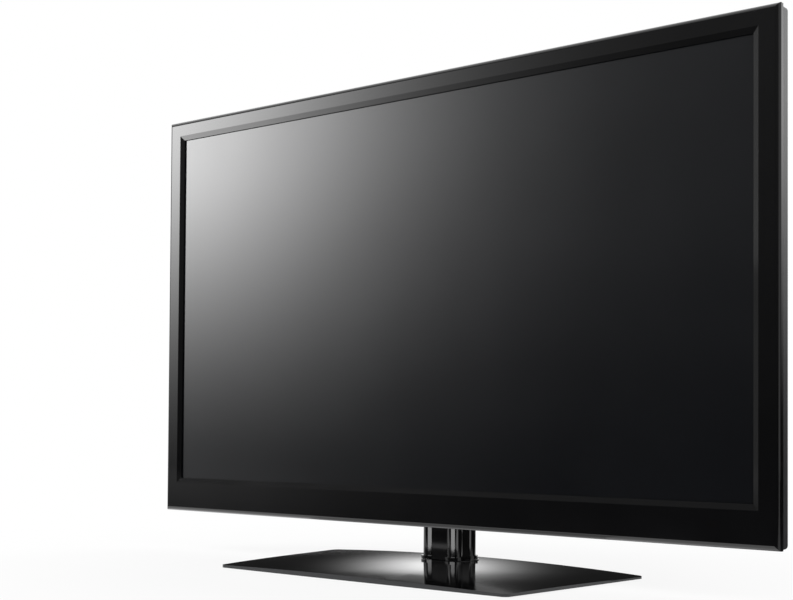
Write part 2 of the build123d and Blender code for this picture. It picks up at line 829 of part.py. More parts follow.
with BuildPart() as back_cover:
    add(outer_form)
    add(inner_form, mode=Mode.SUBTRACT)
    # Tongue that plugs into the bezel, carried by the inner face of the cover's wall
    with BuildSketch(facing(cover_front_y)):
        with Locations((0, set_mid_z)):
            Rectangle(cover_tongue_width, cover_tongue_height)
            Rectangle(
                cover_tongue_width - 2 * cover_wall,
                cover_tongue_height - 2 * cover_wall,
                mode=Mode.SUBTRACT,
            )
    extrude(amount=-(cover_wall_y + cover_tongue_lap - cover_front_y))
    # Screw posts and their sunken holes
    with BuildSketch(facing(cover_front_y)):
        with Locations(*cover_screw_points):
            Circle(cover_post_radius)
    extrude(amount=-(cover_inner_y - cover_front_y))
    with BuildSketch(facing(cover_front_y)):
        with Locations(*cover_screw_points):
            Circle(screw_radius + fit_gap)
    extrude(amount=-rim_depth, mode=Mode.SUBTRACT)
    with BuildSketch(facing(screw_head_y)):
        with Locations(*cover_screw_points):
            Circle(screw_head_radius + fit_gap)
    extrude(amount=-rim_depth, mode=Mode.SUBTRACT)
    # Socket bays, each a tray open to the rear
    for bay_x, bay_width in ((main_board_x, main_bay_width), (inlet_x, inlet_bay_width)):
        with Locations((bay_x, (bay_floor_y - bay_floor_thickness + bulge_rear_y) / 2, bay_z)):
            Box(
                bay_width + 2 * bay_wall,
                bulge_rear_y - bay_floor_y + bay_floor_thickness,
                bay_height + 2 * bay_wall,
            )
        with Locations((bay_x, bay_floor_y + bulge_depth / 2, bay_z)):
            Box(bay_width, bulge_depth, bay_height, mode=Mode.SUBTRACT)
    # Clear holes round the wall mount and stand standoffs
    with BuildSketch(facing(rim_rear_y)):
        with Locations(*(vesa_points + stand_points)):
            Circle(vesa_radius + fit_gap)
    extrude(amount=-bulge_depth, mode=Mode.SUBTRACT)
    # Vent slots across the top of the bulge
    with BuildSketch(facing(cover_inner_y)):
        with Locations((0, set_top_z - vent_from_top)):
            with GridLocations(vent_pitch, vent_row_pitch, vent_columns, vent_rows):
                SlotOverall(vent_slot_length, vent_slot_width, rotation=90)
    extrude(amount=-bulge_depth, mode=Mode.SUBTRACT)
    # Sound slots under the speaker sills
    with BuildSketch(Plane.XY.offset(cover_bottom_z)):
        for side in (-1, 1):
            with Locations((side * sill_x, rim_rear_y + sill_reach / 2)):
                with GridLocations(speaker_slot_pitch, 1, speaker_slot_count, 1):
                    SlotOverall(speaker_slot_length, vent_slot_width, rotation=90)
    extrude(amount=cover_wall, mode=Mode.SUBTRACT)
    # Button holes
    with BuildSketch(facing(cover_inner_y)):
        for index in range(button_count):
            with Locations((button_x, button_low_z + index * button_pitch)):
                RectangleRounded(
                    button_width + 2 * fit_gap,
                    button_height + 2 * fit_gap,
                    button_corner_radius + fit_gap,
                )
    extrude(amount=-cover_wall, mode=Mode.SUBTRACT)
    # Windows for the sockets in the upper wall of each bay
    socket_windows = [(main_board_x + shift, hdmi_face) for shift in hdmi_offsets]
    socket_windows.append((main_board_x + usb_offset, usb_face))
    socket_windows.append((main_board_x + lan_offset, lan_face))
    socket_windows.append((main_board_x + vga_offset, vga_face))
    for socket_x, (face_width, face_height) in socket_windows:
        with Locations((socket_x, board_rear_y + face_height / 2, bay_top_z + bay_wall / 2)):
            Box(face_width + 2 * fit_gap, face_height + 2 * fit_gap, bay_wall, mode=Mode.SUBTRACT)
    for index in range(phono_count):
        phono_x = main_board_x + phono_first_offset - index * phono_pitch
        with Locations((phono_x, board_rear_y + phono_body[1] / 2, bay_top_z + bay_wall / 2)):
            Cylinder(phono_radius + fit_gap, bay_wall, mode=Mode.SUBTRACT)
    tuner_x = main_board_x + tuner_offset
    tuner_y = board_rear_y + tuner_face[1] / 2
    with Locations((tuner_x, tuner_y, bay_top_z + bay_wall / 2)):
        Cylinder(tuner_barrel_radius + fit_gap, bay_wall, mode=Mode.SUBTRACT)
    # The mains bay is open at the top, where the plate of its inlet lies
    with Locations((inlet_x, inlet_plate_y, bay_top_z + bay_wall / 2)):
        Box(inlet_bay_width, inlet_plate_room, bay_wall, mode=Mode.SUBTRACT)
    # Posts that hold the key board
    with BuildSketch(facing(key_board_rear_y)):
        with Locations(*key_post_points):
            Circle(key_post_radius)
    extrude(amount=-(cover_inner_y - key_board_rear_y))
    with BuildSketch(facing(key_board_y)):
        with Locations(*key_post_points):
            Circle(key_pin_radius)
    extrude(amount=-key_board_thickness)

finish(back_cover, "back_cover")

with BuildPart() as cover_screws:
    with BuildSketch(facing(screw_head_y)):
        with Locations(*cover_screw_points):
            Circle(screw_head_radius)
    extrude(amount=-screw_head_height)
    with BuildSketch(facing(screw_head_y)):
        with Locations(*cover_screw_points):
            Circle(screw_radius - fit_gap)
    extrude(amount=cover_screw_length - screw_head_height)

finish(cover_screws, "cover_screws")


# Main board and what stands on it

with BuildPart() as main_board:
    with BuildSketch(facing(board_y)):
        with Locations((main_board_x, main_board_z)):
            Rectangle(main_board_width, main_board_height)
        with Locations(*main_board_points):
            Circle(board_screw_radius + fit_gap, mode=Mode.SUBTRACT)
    extrude(amount=-board_thickness)
    # Main chip under the heat sink, and a row of memory chips beside it
    with BuildSketch(facing(board_rear_y)):
        with Locations((main_board_x, main_board_z + chip_rise)):
            Rectangle(chip_size, chip_size)
        with Locations((main_board_x + memory_shift, main_board_z + chip_rise)):
            with GridLocations(1, memory_pitch, 1, memory_count):
                Rectangle(*memory_chip)
    extrude(amount=-chip_height)
    # Ribbon and harness connectors along the edges
    with BuildSketch(facing(board_rear_y)):
        with Locations((main_board_right - lvds_plug_inset, main_board_top_z - plug_inset)):
            Rectangle(ribbon_width + ribbon_plug, plug_depth)
        with Locations((main_board_right - plug_inset, main_board_z)):
            with GridLocations(1, plug_pitch, 1, plug_count):
                Rectangle(plug_depth, plug_length)
        with Locations((main_board_left + plug_inset, main_board_z - speaker_plug_drop)):
            Rectangle(plug_depth, plug_length)
    extrude(amount=-connector_height)

finish(main_board, "main_board")

with BuildPart() as main_heatsink:
    with BuildSketch(facing(board_rear_y + chip_height + stack_gap)):
        with Locations((main_board_x, main_board_z + chip_rise)):
            Rectangle(heatsink_width, heatsink_width)
    extrude(amount=-heatsink_base)
    fin_pitch = (heatsink_width - heatsink_fin) / (heatsink_fin_count - 1)
    with BuildSketch(facing(board_rear_y + chip_height + stack_gap + heatsink_base)):
        with Locations((main_board_x, main_board_z + chip_rise)):
            with GridLocations(fin_pitch, 1, heatsink_fin_count, 1):
                Rectangle(heatsink_fin, heatsink_width)
    extrude(amount=-(part_height - chip_height - heatsink_base))

finish(main_heatsink, "main_heatsink")


def socket_shell(socket_x, face):
    """Shell of a socket that stands on a board with its mouth down in the bay."""
    middle_y = board_rear_y + face[1] / 2
    with BuildPart() as shell:
        with Locations((socket_x, middle_y, socket_mouth_z + socket_length / 2)):
            Box(face[0], face[1], socket_length)
        with Locations((socket_x, middle_y, socket_mouth_z + (socket_length - socket_wall) / 2)):
            Box(
                face[0] - 2 * socket_wall,
                face[1] - 2 * socket_wall,
                socket_length - socket_wall,
                mode=Mode.SUBTRACT,
            )
    return shell.part


with BuildPart() as hdmi_ports:
    for shift in hdmi_offsets:
        add(socket_shell(main_board_x + shift, hdmi_face))
        with Locations((main_board_x + shift, board_rear_y + hdmi_face[1] / 2, tongue_z)):
            Box(hdmi_tongue_width, socket_tongue, socket_length - socket_tongue_recess)

finish(hdmi_ports, "hdmi_ports")

with BuildPart() as usb_port:
    add(socket_shell(main_board_x + usb_offset, usb_face))
    usb_tongue_y = board_rear_y + usb_face[1] / 2 - usb_tongue_shift
    with Locations((main_board_x + usb_offset, usb_tongue_y, tongue_z)):
        Box(usb_tongue_width, socket_tongue, socket_length - socket_tongue_recess)

finish(usb_port, "usb_port")

with BuildPart() as lan_jack:
    add(socket_shell(main_board_x + lan_offset, lan_face))
    # Keyway for the latch of the plug
    keyway_y = board_rear_y + lan_face[1] - socket_wall
    with Locations((main_board_x + lan_offset, keyway_y, socket_mouth_z + lan_keyway[2] / 2)):
        Box(*lan_keyway, mode=Mode.SUBTRACT)

finish(lan_jack, "lan_jack")

with BuildPart() as vga_port:
    vga_x = main_board_x + vga_offset
    vga_y = board_rear_y + vga_face[1] / 2
    with Locations((vga_x, vga_y, socket_mouth_z + socket_length / 2)):
        Box(vga_face[0], vga_face[1], socket_length)
    with BuildSketch(Plane.XY.offset(socket_mouth_z)):
        with Locations((vga_x, vga_y)):
            Trapezoid(vga_shell[0], vga_shell[1], vga_shell_angle)
    extrude(amount=-vga_standout)
    for side in (-1, 1):
        with Locations((vga_x + side * vga_nut_reach, vga_y, socket_mouth_z)):
            Cylinder(vga_nut_radius, vga_nut_length)

finish(vga_port, "vga_port")

with BuildPart() as av_jacks:
    for index in range(phono_count):
        phono_x = main_board_x + phono_first_offset - index * phono_pitch
        phono_y = board_rear_y + phono_body[1] / 2
        body_z = bay_top_z + bay_wall + fit_gap
        barrel_length = body_z - bay_top_z + phono_standout
        with Locations((phono_x, phono_y, body_z + socket_length / 2)):
            Box(phono_body[0], phono_body[1], socket_length)
        with Locations((phono_x, phono_y, body_z - barrel_length / 2)):
            Cylinder(phono_radius, barrel_length)
            Cylinder(phono_bore_radius, barrel_length, mode=Mode.SUBTRACT)

finish(av_jacks, "av_jacks")

with BuildPart() as tuner_module:
    can_z = bay_top_z + bay_wall + fit_gap
    barrel_length = can_z - bay_top_z + tuner_standout
    with Locations((tuner_x, tuner_y, can_z + tuner_length / 2)):
        Box(tuner_face[0], tuner_face[1], tuner_length)
    with Locations((tuner_x, tuner_y, can_z - barrel_length / 2)):
        Cylinder(tuner_barrel_radius, barrel_length)
    with Locations((tuner_x, tuner_y, can_z - barrel_length + tuner_bore_length / 2)):
        Cylinder(tuner_bore_radius, tuner_bore_length, mode=Mode.SUBTRACT)

finish(tuner_module, "tuner_module")


# Power board and what stands on it

with BuildPart() as power_board:
    with BuildSketch(facing(board_y)):
        with Locations((power_board_x, power_board_z)):
            Rectangle(power_board_width, power_board_height)
        with Locations(*power_board_points):
            Circle(board_screw_radius + fit_gap, mode=Mode.SUBTRACT)
    extrude(amount=-board_thickness)
    with BuildSketch(facing(board_rear_y)):
        with Locations((power_board_left + plug_inset, power_board_z)):
            with GridLocations(1, power_plug_pitch, 1, plug_count):
                Rectangle(plug_depth, power_plug_length)
        with Locations((power_board_x, power_board_top_z - plug_inset)):
            with GridLocations(lamp_plug_pitch, 1, 2, 1):
                Rectangle(power_plug_length, plug_depth)
    extrude(amount=-connector_height)

finish(power_board, "power_board")

# Three transformers, each a ferrite core round a thicker winding
with BuildPart() as power_transformers:
    for shift_x, shift_z, size in transformer_sizes:
        with Locations((power_board_x + shift_x, board_rear_y + part_height / 2, power_board_z + shift_z)):
            Box(size, part_height, size * core_height_ratio)
            Box(size * winding_width_ratio, part_height - winding_drop, size * winding_height_ratio)

finish(power_transformers, "power_transformers")

with BuildPart() as power_capacitors:
    capacitor_y = board_rear_y + capacitor_radius
    for index in range(capacitor_count):
        step = index - (capacitor_count - 1) / 2
        capacitor_x = power_board_x + capacitor_shift + step * capacitor_pitch
        with BuildSketch(Plane.XY.offset(power_board_z + capacitor_rise)):
            with Locations((capacitor_x, capacitor_y)):
                Circle(capacitor_radius)
        extrude(amount=capacitor_length)

finish(power_capacitors, "power_capacitors")

with BuildPart() as power_heatsinks:
    fin_y = board_rear_y + part_height / 2
    fin_z = power_board_z + power_fin_rise
    for shift_x in power_fin_shifts:
        with Locations((power_board_x + shift_x, fin_y, fin_z)):
            Box(power_fin_plate, part_height, power_fin_length)
            with GridLocations(1, power_fin_pitch, 1, 3):
                Box(power_fin_width, power_fin_thickness, power_fin_length)

finish(power_heatsinks, "power_heatsinks")

# Two-pin mains inlet with its mouth down in its own bay, and the plate that closes the bay round it
with BuildPart() as ac_inlet:
    inlet_y = board_rear_y + inlet_face[1] / 2
    inlet_notch_y = board_rear_y - fit_gap + inlet_plate_room / 2
    plate_mid_z = bay_top_z + bay_wall / 2
    with Locations((inlet_x, inlet_plate_y, plate_mid_z)):
        Box(inlet_bay_width - 2 * fit_gap, inlet_plate_room - 2 * fit_gap, bay_wall)
    with Locations((inlet_x, inlet_notch_y, plate_mid_z)):
        Box(inlet_face[0] + 2 * fit_gap, inlet_plate_room, bay_wall, mode=Mode.SUBTRACT)
    with Locations((inlet_x, inlet_y, socket_mouth_z + socket_length / 2)):
        Box(inlet_face[0], inlet_face[1], socket_length)
    with BuildSketch(Plane.XY.offset(socket_mouth_z)):
        with Locations((inlet_x, inlet_y)):
            SlotOverall(inlet_opening[0], inlet_opening[1])
    extrude(amount=inlet_depth, mode=Mode.SUBTRACT)
    with BuildSketch(Plane.XY.offset(socket_mouth_z + inlet_pin_recess)):
        with Locations((inlet_x, inlet_y)):
            with GridLocations(inlet_pin_spacing, 1, 2, 1):
                Circle(inlet_pin_radius)
    extrude(amount=inlet_depth - inlet_pin_recess)

finish(ac_inlet, "ac_inlet")


# Timing board, source boards and their ribbon cables

cable_x = source_board_x - source_board_width / 2 + ribbon_width / 2 + ribbon_inset

with BuildPart() as timing_board:
    with BuildSketch(facing(board_y)):
        with Locations((0, timing_board_z)):
            Rectangle(timing_board_width, timing_board_height)
        with Locations(*timing_board_points):
            Circle(board_screw_radius + fit_gap, mode=Mode.SUBTRACT)
    extrude(amount=-board_thickness)
    with BuildSketch(facing(board_rear_y)):
        with Locations((0, timing_board_z - timing_chip_drop)):
            Rectangle(timing_chip_size, timing_chip_size)
        for side in (-1, 1):
            with Locations((side * cable_x, timing_board_top_z - plug_inset)):
                Rectangle(ribbon_width + ribbon_plug, plug_depth)
        with Locations((timing_board_left + plug_inset, timing_board_z)):
            Rectangle(plug_depth, ribbon_width + ribbon_plug)
    extrude(amount=-connector_height)

finish(timing_board, "timing_board")

with BuildPart() as source_boards:
    with BuildSketch(facing(chassis_rear_y + fit_gap)):
        with Locations((-source_board_x, source_board_z), (source_board_x, source_board_z)):
            Rectangle(source_board_width, source_board_height)
    extrude(amount=-source_board_thickness)

finish(source_boards, "source_boards")

with BuildPart() as source_cables:
    source_rear_y = chassis_rear_y + fit_gap + source_board_thickness
    cable_path = [
        (ribbon_y, timing_board_top_z - plug_inset - plug_depth / 2),
        (ribbon_y, timing_board_top_z + ribbon_plug),
        (source_rear_y, source_board_z - source_board_height / 2 - ribbon_plug),
        (source_rear_y, source_board_z + source_board_height / 2 - ribbon_plug),
    ]
    cable_back = [(y + ribbon_thickness, z) for y, z in reversed(cable_path)]
    for side in (-1, 1):
        with BuildSketch(Plane.YZ.offset(side * cable_x - ribbon_width / 2)):
            with BuildLine():
                Polyline(*cable_path, *cable_back, close=True)
            make_face()
        extrude(amount=ribbon_width)

finish(source_cables, "source_cables")

with BuildPart() as lvds_cable:
    cable_foot_x = main_board_right - lvds_plug_inset
    cable_foot_z = main_board_top_z - plug_inset - plug_depth / 2
    cable_head_x = timing_board_left + plug_inset + plug_depth / 2
    with BuildSketch(facing(ribbon_y)):
        with Locations((cable_foot_x, (cable_foot_z + timing_board_z) / 2 + ribbon_width / 4)):
            Rectangle(ribbon_width, timing_board_z - cable_foot_z + ribbon_width / 2)
        with Locations(((cable_foot_x + cable_head_x) / 2, timing_board_z)):
            Rectangle(cable_head_x - cable_foot_x, ribbon_width)
    extrude(amount=-ribbon_thickness)

finish(lvds_cable, "lvds_cable")

with BuildPart() as board_screws:
    with BuildSketch(facing(board_rear_y)):
        with Locations(*board_points):
            Circle(board_screw_head_radius)
    extrude(amount=-board_screw_head_height)
    with BuildSketch(facing(board_rear_y)):
        with Locations(*board_points):
            Circle(board_screw_radius)
    extrude(amount=board_thickness + standoff_height - standoff_bite)

finish(board_screws, "board_screws")


# Loudspeakers in the sills, each a hollow box with its driver facing down

speaker_rear_y = sill_rear_y - cover_wall - speaker_gap / 2
speaker_front_y = cover_front_y + speaker_front_gap
speaker_low_z = cover_bottom_z + cover_wall + speaker_gap / 2 + driver_thickness / 2
speaker_high_z = sill_top_z - cover_wall - speaker_gap / 2
speaker_mid_y = (cover_inner_y + speaker_rear_y) / 2 + driver_shift
basket_length = driver_length - 2 * driver_rim
basket_width = driver_width - 2 * driver_rim


def speaker_box(mid_x):
    """Hollow speaker box with a slot in its floor for the driver."""
    with BuildPart() as box:
        with BuildSketch(Plane.YZ.offset(mid_x - speaker_length / 2)):
            with Locations(
                ((speaker_front_y + speaker_rear_y) / 2, (speaker_low_z + speaker_high_z) / 2)
            ):
                Rectangle(speaker_rear_y - speaker_front_y, speaker_high_z - speaker_low_z)
        extrude(amount=speaker_length)
        rear_top_edge = box.edges().filter_by(Axis.X).sort_by(Axis.Y)[-2:].sort_by(Axis.Z)[-1]
        fillet(rear_top_edge, sill_radius - cover_wall)
        offset(amount=-speaker_wall, kind=Kind.INTERSECTION, mode=Mode.SUBTRACT)
        with BuildSketch(Plane.XY.offset(speaker_low_z)):
            with Locations((mid_x, speaker_mid_y)):
                SlotOverall(basket_length + 2 * fit_gap, basket_width + 2 * fit_gap)
        extrude(amount=2 * speaker_wall, mode=Mode.SUBTRACT)
    return box


speaker_left = speaker_box(-sill_x)
finish(speaker_left, "speaker_left")

speaker_right = speaker_box(sill_x)
finish(speaker_right, "speaker_right")

with BuildPart() as speaker_drivers:
    for side in (-1, 1):
        with BuildSketch(Plane.XY.offset(speaker_low_z - driver_thickness / 2)):
            with Locations((side * sill_x, speaker_mid_y)):
                SlotOverall(driver_length, driver_width)
        extrude(amount=driver_thickness / 2)
        with BuildSketch(Plane.XY.offset(speaker_low_z)):
            with Locations((side * sill_x, speaker_mid_y)):
                SlotOverall(basket_length, basket_width)
        extrude(amount=driver_basket_height, taper=driver_basket_taper)
        with Locations((side * sill_x, speaker_mid_y, speaker_low_z + driver_magnet_z)):
            Box(*driver_magnet)

finish(speaker_drivers, "speaker_drivers")


# Wires clipped along the chassis between the boards, speakers, light bars and keys

side_lane_x = main_board_left - harness_side_lane
lane_z = set_mid_z - vesa_spacing / 2 - harness_lane_drop
lower_lane_z = stand_bolts_z - stand_spacing_z / 2 - harness_lower_drop
upper_lane_z = lower_lane_z + 4 * harness_radius
right_lane_x = stand_spacing_x / 2 + harness_lane_drop
left_drop_x = -sill_x - harness_sill_shift
right_drop_x = sill_x - harness_sill_shift
link_low_z = set_mid_z - harness_link_drops[0]
link_high_z = set_mid_z - harness_link_drops[1]
key_lead, key_rise = harness_key_run
key_board_edge_x = button_x - key_board_width / 2 - running_gap
key_lead_x = (power_board_right + key_board_edge_x) / 2
lamp_low_z = power_board_top_z + harness_lamp_rises[0]
lamp_high_z = power_board_top_z + harness_lamp_rises[1]
lamp_end_x = guide_width / 2 - harness_lamp_inset
harness_routes = [
    [
        (main_board_left - harness_end_gap, main_board_z - speaker_plug_drop),
        (side_lane_x, main_board_z - speaker_plug_drop),
        (side_lane_x, upper_lane_z),
        (left_drop_x, upper_lane_z),
        (left_drop_x, speaker_high_z),
    ],
    [
        (main_board_right + harness_end_gap, lane_z),
        (right_lane_x, lane_z),
        (right_lane_x, lower_lane_z),
        (right_drop_x, lower_lane_z),
        (right_drop_x, speaker_high_z),
    ],
    [
        (main_board_right + harness_end_gap, link_low_z),
        (main_board_right + harness_link, link_low_z),
        (power_board_left - harness_link, link_high_z),
        (power_board_left - harness_end_gap, link_high_z),
    ],
    [
        (power_board_right + harness_end_gap, key_board_z),
        (key_lead_x - key_lead, key_board_z),
        (key_lead_x + key_lead, key_board_z + key_rise),
        (key_board_edge_x, key_board_z + key_rise),
    ],
    [
        (power_board_x + lamp_plug_pitch / 2, power_board_top_z + harness_end_gap),
        (power_board_x + lamp_plug_pitch / 2, lamp_high_z),
        (lamp_end_x, lamp_high_z),
    ],
    [
        (power_board_x - lamp_plug_pitch / 2, power_board_top_z + harness_end_gap),
        (power_board_x - lamp_plug_pitch / 2, lamp_low_z),
        (-lamp_end_x, lamp_low_z),
    ],
]

with BuildPart() as wire_harness:
    for points in harness_routes:
        with BuildLine(facing(harness_y)) as route:
            FilletPolyline(*points, radius=harness_bend)
        with BuildSketch(Plane(origin=route.line @ 0, z_dir=route.line % 0)):
            Circle(harness_radius)
        sweep()

finish(wire_harness, "wire_harness")


# Keys: a board of tact switches and eight push buttons

with BuildPart() as key_board:
    with BuildSketch(facing(key_board_y)):
        with Locations((button_x, key_board_z)):
            Rectangle(key_board_width, key_board_height)
        with Locations(*key_post_points):
            Circle(key_pin_radius + fit_gap, mode=Mode.SUBTRACT)
    extrude(amount=-key_board_thickness)
    with BuildSketch(facing(key_board_rear_y)):
        for index in range(button_count):
            with Locations((button_x, button_low_z + index * button_pitch)):
                Rectangle(switch_size, switch_size)
                Circle(button_stem_radius + fit_gap, mode=Mode.SUBTRACT)
    extrude(amount=-switch_height)

finish(key_board, "key_board")


def push_button(mid_z):
    """Cap with a flange behind the cover and a stem that enters its switch."""
    with BuildPart() as button:
        with BuildSketch(facing(button_flange_y)):
            with Locations((button_x, mid_z)):
                Rectangle(button_width + 2 * button_flange, button_height + 2 * button_flange)
        extrude(amount=-button_flange_thickness)
        with BuildSketch(facing(button_flange_y + button_flange_thickness)):
            with Locations((button_x, mid_z)):
                RectangleRounded(button_width, button_height, button_corner_radius)
        extrude(amount=-(rim_rear_y + button_standout - button_flange_y - button_flange_thickness))
        fillet(button.faces().sort_by(Axis.Y)[-1].edges(), button_edge_radius)
        with BuildSketch(facing(button_flange_y)):
            with Locations((button_x, mid_z)):
                Circle(button_stem_radius)
        extrude(amount=button_room + button_travel + button_stem_bite)
    return button


for index, button_name in enumerate(button_names):
    finish(push_button(button_low_z + (button_count - 1 - index) * button_pitch), button_name)


# Remote control window and its board

with BuildPart() as ir_window:
    with BuildSketch(facing(front_y)):
        with Locations((window_x, ir_z)):
            Rectangle(ir_window_width, ir_window_height)
    extrude(amount=-(bezel_skin + stack_gap))
    with BuildSketch(facing(front_y + bezel_skin + stack_gap)):
        with Locations((window_x, ir_z)):
            Rectangle(ir_window_width + 2 * ir_lip, ir_window_height + 2 * ir_lip)
    extrude(amount=-ir_lip_thickness)

finish(ir_window, "ir_window")

with BuildPart() as ir_board:
    with BuildSketch(facing(ir_board_y)):
        with Locations((window_x, ir_z)):
            Rectangle(*ir_board_size)
    extrude(amount=-key_board_thickness)
    with BuildSketch(facing(ir_board_y)):
        with Locations((window_x, ir_z)):
            Rectangle(*ir_sensor_size)
    extrude(amount=ir_board_depth - ir_lip_thickness - 2 * stack_gap)

finish(ir_board, "ir_board")


# Stand bracket inside the shoulder: an upright plate, two arms and a foot plate

core_bolts = [
    (side * core_bolt_spacing_x / 2, neck_y + level * core_bolt_spacing_y / 2)
    for side in (-1, 1)
    for level in (-1, 1)
]

with BuildPart() as stand_bracket:
    with BuildSketch(facing(bracket_y)):
        with Locations((0, stand_bolts_z)):
            Rectangle(bracket_width, bracket_plate_height)
        with Locations((0, (bracket_foot_z + stand_bolts_z) / 2)):
            Rectangle(bracket_foot_width, stand_bolts_z - bracket_foot_z)
        with Locations(*stand_points):
            Circle(stand_screw_radius + fit_gap, mode=Mode.SUBTRACT)
        with Locations((0, shoulder_screw_z)):
            with GridLocations(shoulder_screw_spacing_x, shoulder_screw_spacing_z, 2, 2):
                Circle(shoulder_screw_radius + running_gap, mode=Mode.SUBTRACT)
    extrude(amount=-bracket_thickness)
    for side in (-1, 1):
        arm_x = side * bracket_arm_spacing / 2 - bracket_thickness / 2
        with BuildSketch(Plane.YZ.offset(arm_x)):
            with BuildLine():
                Polyline(
                    (bracket_y, bracket_foot_z),
                    (bracket_reach_y, bracket_foot_z),
                    (bracket_reach_y, shoulder_slope_foot_z + bracket_slope_rise),
                    (shoulder_back_y, shoulder_apex_z - bracket_bend_drop),
                    (bracket_rear_y + bracket_shelf, shoulder_apex_z),
                    (bracket_y, shoulder_apex_z),
                    close=True,
                )
            make_face()
        extrude(amount=bracket_thickness)
    with BuildSketch(Plane.XY.offset(bracket_foot_z)):
        with Locations((0, (bracket_y + bracket_reach_y) / 2)):
            Rectangle(bracket_foot_width, bracket_reach_y - bracket_y)
        with Locations(*core_bolts):
            Circle(stand_screw_radius + fit_gap, mode=Mode.SUBTRACT)
    extrude(amount=bracket_thickness)

finish(stand_bracket, "stand_bracket")

with BuildPart() as bracket_screws:
    with BuildSketch(facing(bracket_rear_y)):
        with Locations(*stand_points):
            Circle(stand_screw_head_radius)
    extrude(amount=-stand_screw_head_height)
    with BuildSketch(facing(bracket_rear_y)):
        with Locations(*stand_points):
            Circle(stand_screw_radius)
    extrude(amount=bracket_thickness + vesa_thread_depth - stand_thread_gap)
    with BuildSketch(Plane.XY.offset(bracket_foot_z + bracket_thickness)):
        with Locations(*core_bolts):
            Circle(stand_screw_head_radius)
    extrude(amount=stand_screw_head_height)
    with BuildSketch(Plane.XY.offset(bracket_foot_z + bracket_thickness)):
        with Locations(*core_bolts):
            Circle(stand_screw_radius)
    extrude(amount=-2 * bracket_thickness)

finish(bracket_screws, "bracket_screws")


# Shoulder cover: a shell open to the set, sloping out over the bracket

bulge_low_z = floor_gap + bulge_bottom
shoulder_low_front_y = rim_rear_y + fit_gap
shoulder_high_front_y = bulge_rear_y + fit_gap

with BuildPart() as shoulder_cover:
    with BuildSketch(Plane.YZ.offset(-shoulder_width / 2)) as shoulder_profile:
        with BuildLine():
            Polyline(
                (shoulder_low_front_y, shoulder_bottom_z),
                (shoulder_reach_y, shoulder_bottom_z),
                (shoulder_reach_y, shoulder_slope_foot_z),
                (shoulder_back_y, shoulder_apex_z),
                (shoulder_back_y, shoulder_top_z),
                (shoulder_high_front_y, shoulder_top_z),
                (shoulder_high_front_y, bulge_low_z + bulge_slope_bottom - fit_gap),
                (shoulder_low_front_y, bulge_low_z - fit_gap),
                close=True,
            )
        make_face()
        apex = (-shoulder_width / 2, shoulder_back_y, shoulder_apex_z)
        fillet(shoulder_profile.vertices().sort_by_distance(apex)[0], shoulder_apex_radius)
    extrude(amount=shoulder_width)
    rim_edges = [
        edge
        for edge in shoulder_cover.edges()
        if abs(abs(edge.center().X) - shoulder_width / 2) < stack_gap
        and edge.center().Y > shoulder_high_front_y + fit_gap
        and edge.center().Z > shoulder_bottom_z + fit_gap
    ]
    fillet(rim_edges, shoulder_edge_radius)
    for forward in (0, -2 * shoulder_wall):
        with BuildSketch(Plane.YZ.offset(shoulder_wall - shoulder_width / 2)) as hollow_profile:
            with Locations((forward, 0)):
                add(offset(shoulder_profile.sketch_local, amount=-shoulder_wall, mode=Mode.PRIVATE))
        extrude(amount=shoulder_width - 2 * shoulder_wall, mode=Mode.SUBTRACT)
    with BuildSketch(Plane.XY.offset(shoulder_bottom_z)):
        with Locations((0, neck_y)):
            add(offset(column_outline(), amount=fit_gap, mode=Mode.PRIVATE))
    extrude(amount=shoulder_wall, mode=Mode.SUBTRACT)
    # Screw posts that meet the bracket plate
    with BuildSketch(facing(bracket_rear_y + stack_gap)):
        with Locations((0, shoulder_screw_z)):
            with GridLocations(shoulder_screw_spacing_x, shoulder_screw_spacing_z, 2, 2):
                Circle(shoulder_screw_head_radius + shoulder_post_wall)
    extrude(amount=-(shoulder_back_y - bracket_rear_y - shoulder_post_gap))
    with BuildSketch(facing(bracket_rear_y)):
        with Locations((0, shoulder_screw_z)):
            with GridLocations(shoulder_screw_spacing_x, shoulder_screw_spacing_z, 2, 2):
                Circle(shoulder_screw_radius + fit_gap)
    extrude(amount=-(shoulder_back_y - bracket_rear_y), mode=Mode.SUBTRACT)
    with BuildSketch(facing(shoulder_back_y)):
        with Locations((0, shoulder_screw_z)):
            with GridLocations(shoulder_screw_spacing_x, shoulder_screw_spacing_z, 2, 2):
                Circle(shoulder_screw_head_radius + fit_gap)
    extrude(amount=shoulder_wall, mode=Mode.SUBTRACT)

finish(shoulder_cover, "shoulder_cover")

with BuildPart() as shoulder_screws:
    with BuildSketch(facing(shoulder_back_y - shoulder_wall)):
        with Locations((0, shoulder_screw_z)):
            with GridLocations(shoulder_screw_spacing_x, shoulder_screw_spacing_z, 2, 2):
                Circle(shoulder_screw_head_radius)
    extrude(amount=-(shoulder_wall - shoulder_screw_sink))
    with BuildSketch(facing(shoulder_back_y - shoulder_wall)):
        with Locations((0, shoulder_screw_z)):
            with GridLocations(shoulder_screw_spacing_x, shoulder_screw_spacing_z, 2, 2):
                Circle(shoulder_screw_radius)
    extrude(amount=shoulder_back_y - shoulder_wall - bracket_y)

finish(shoulder_screws, "shoulder_screws")


# Neck: a steel core inside a glossy column with a collar at its foot

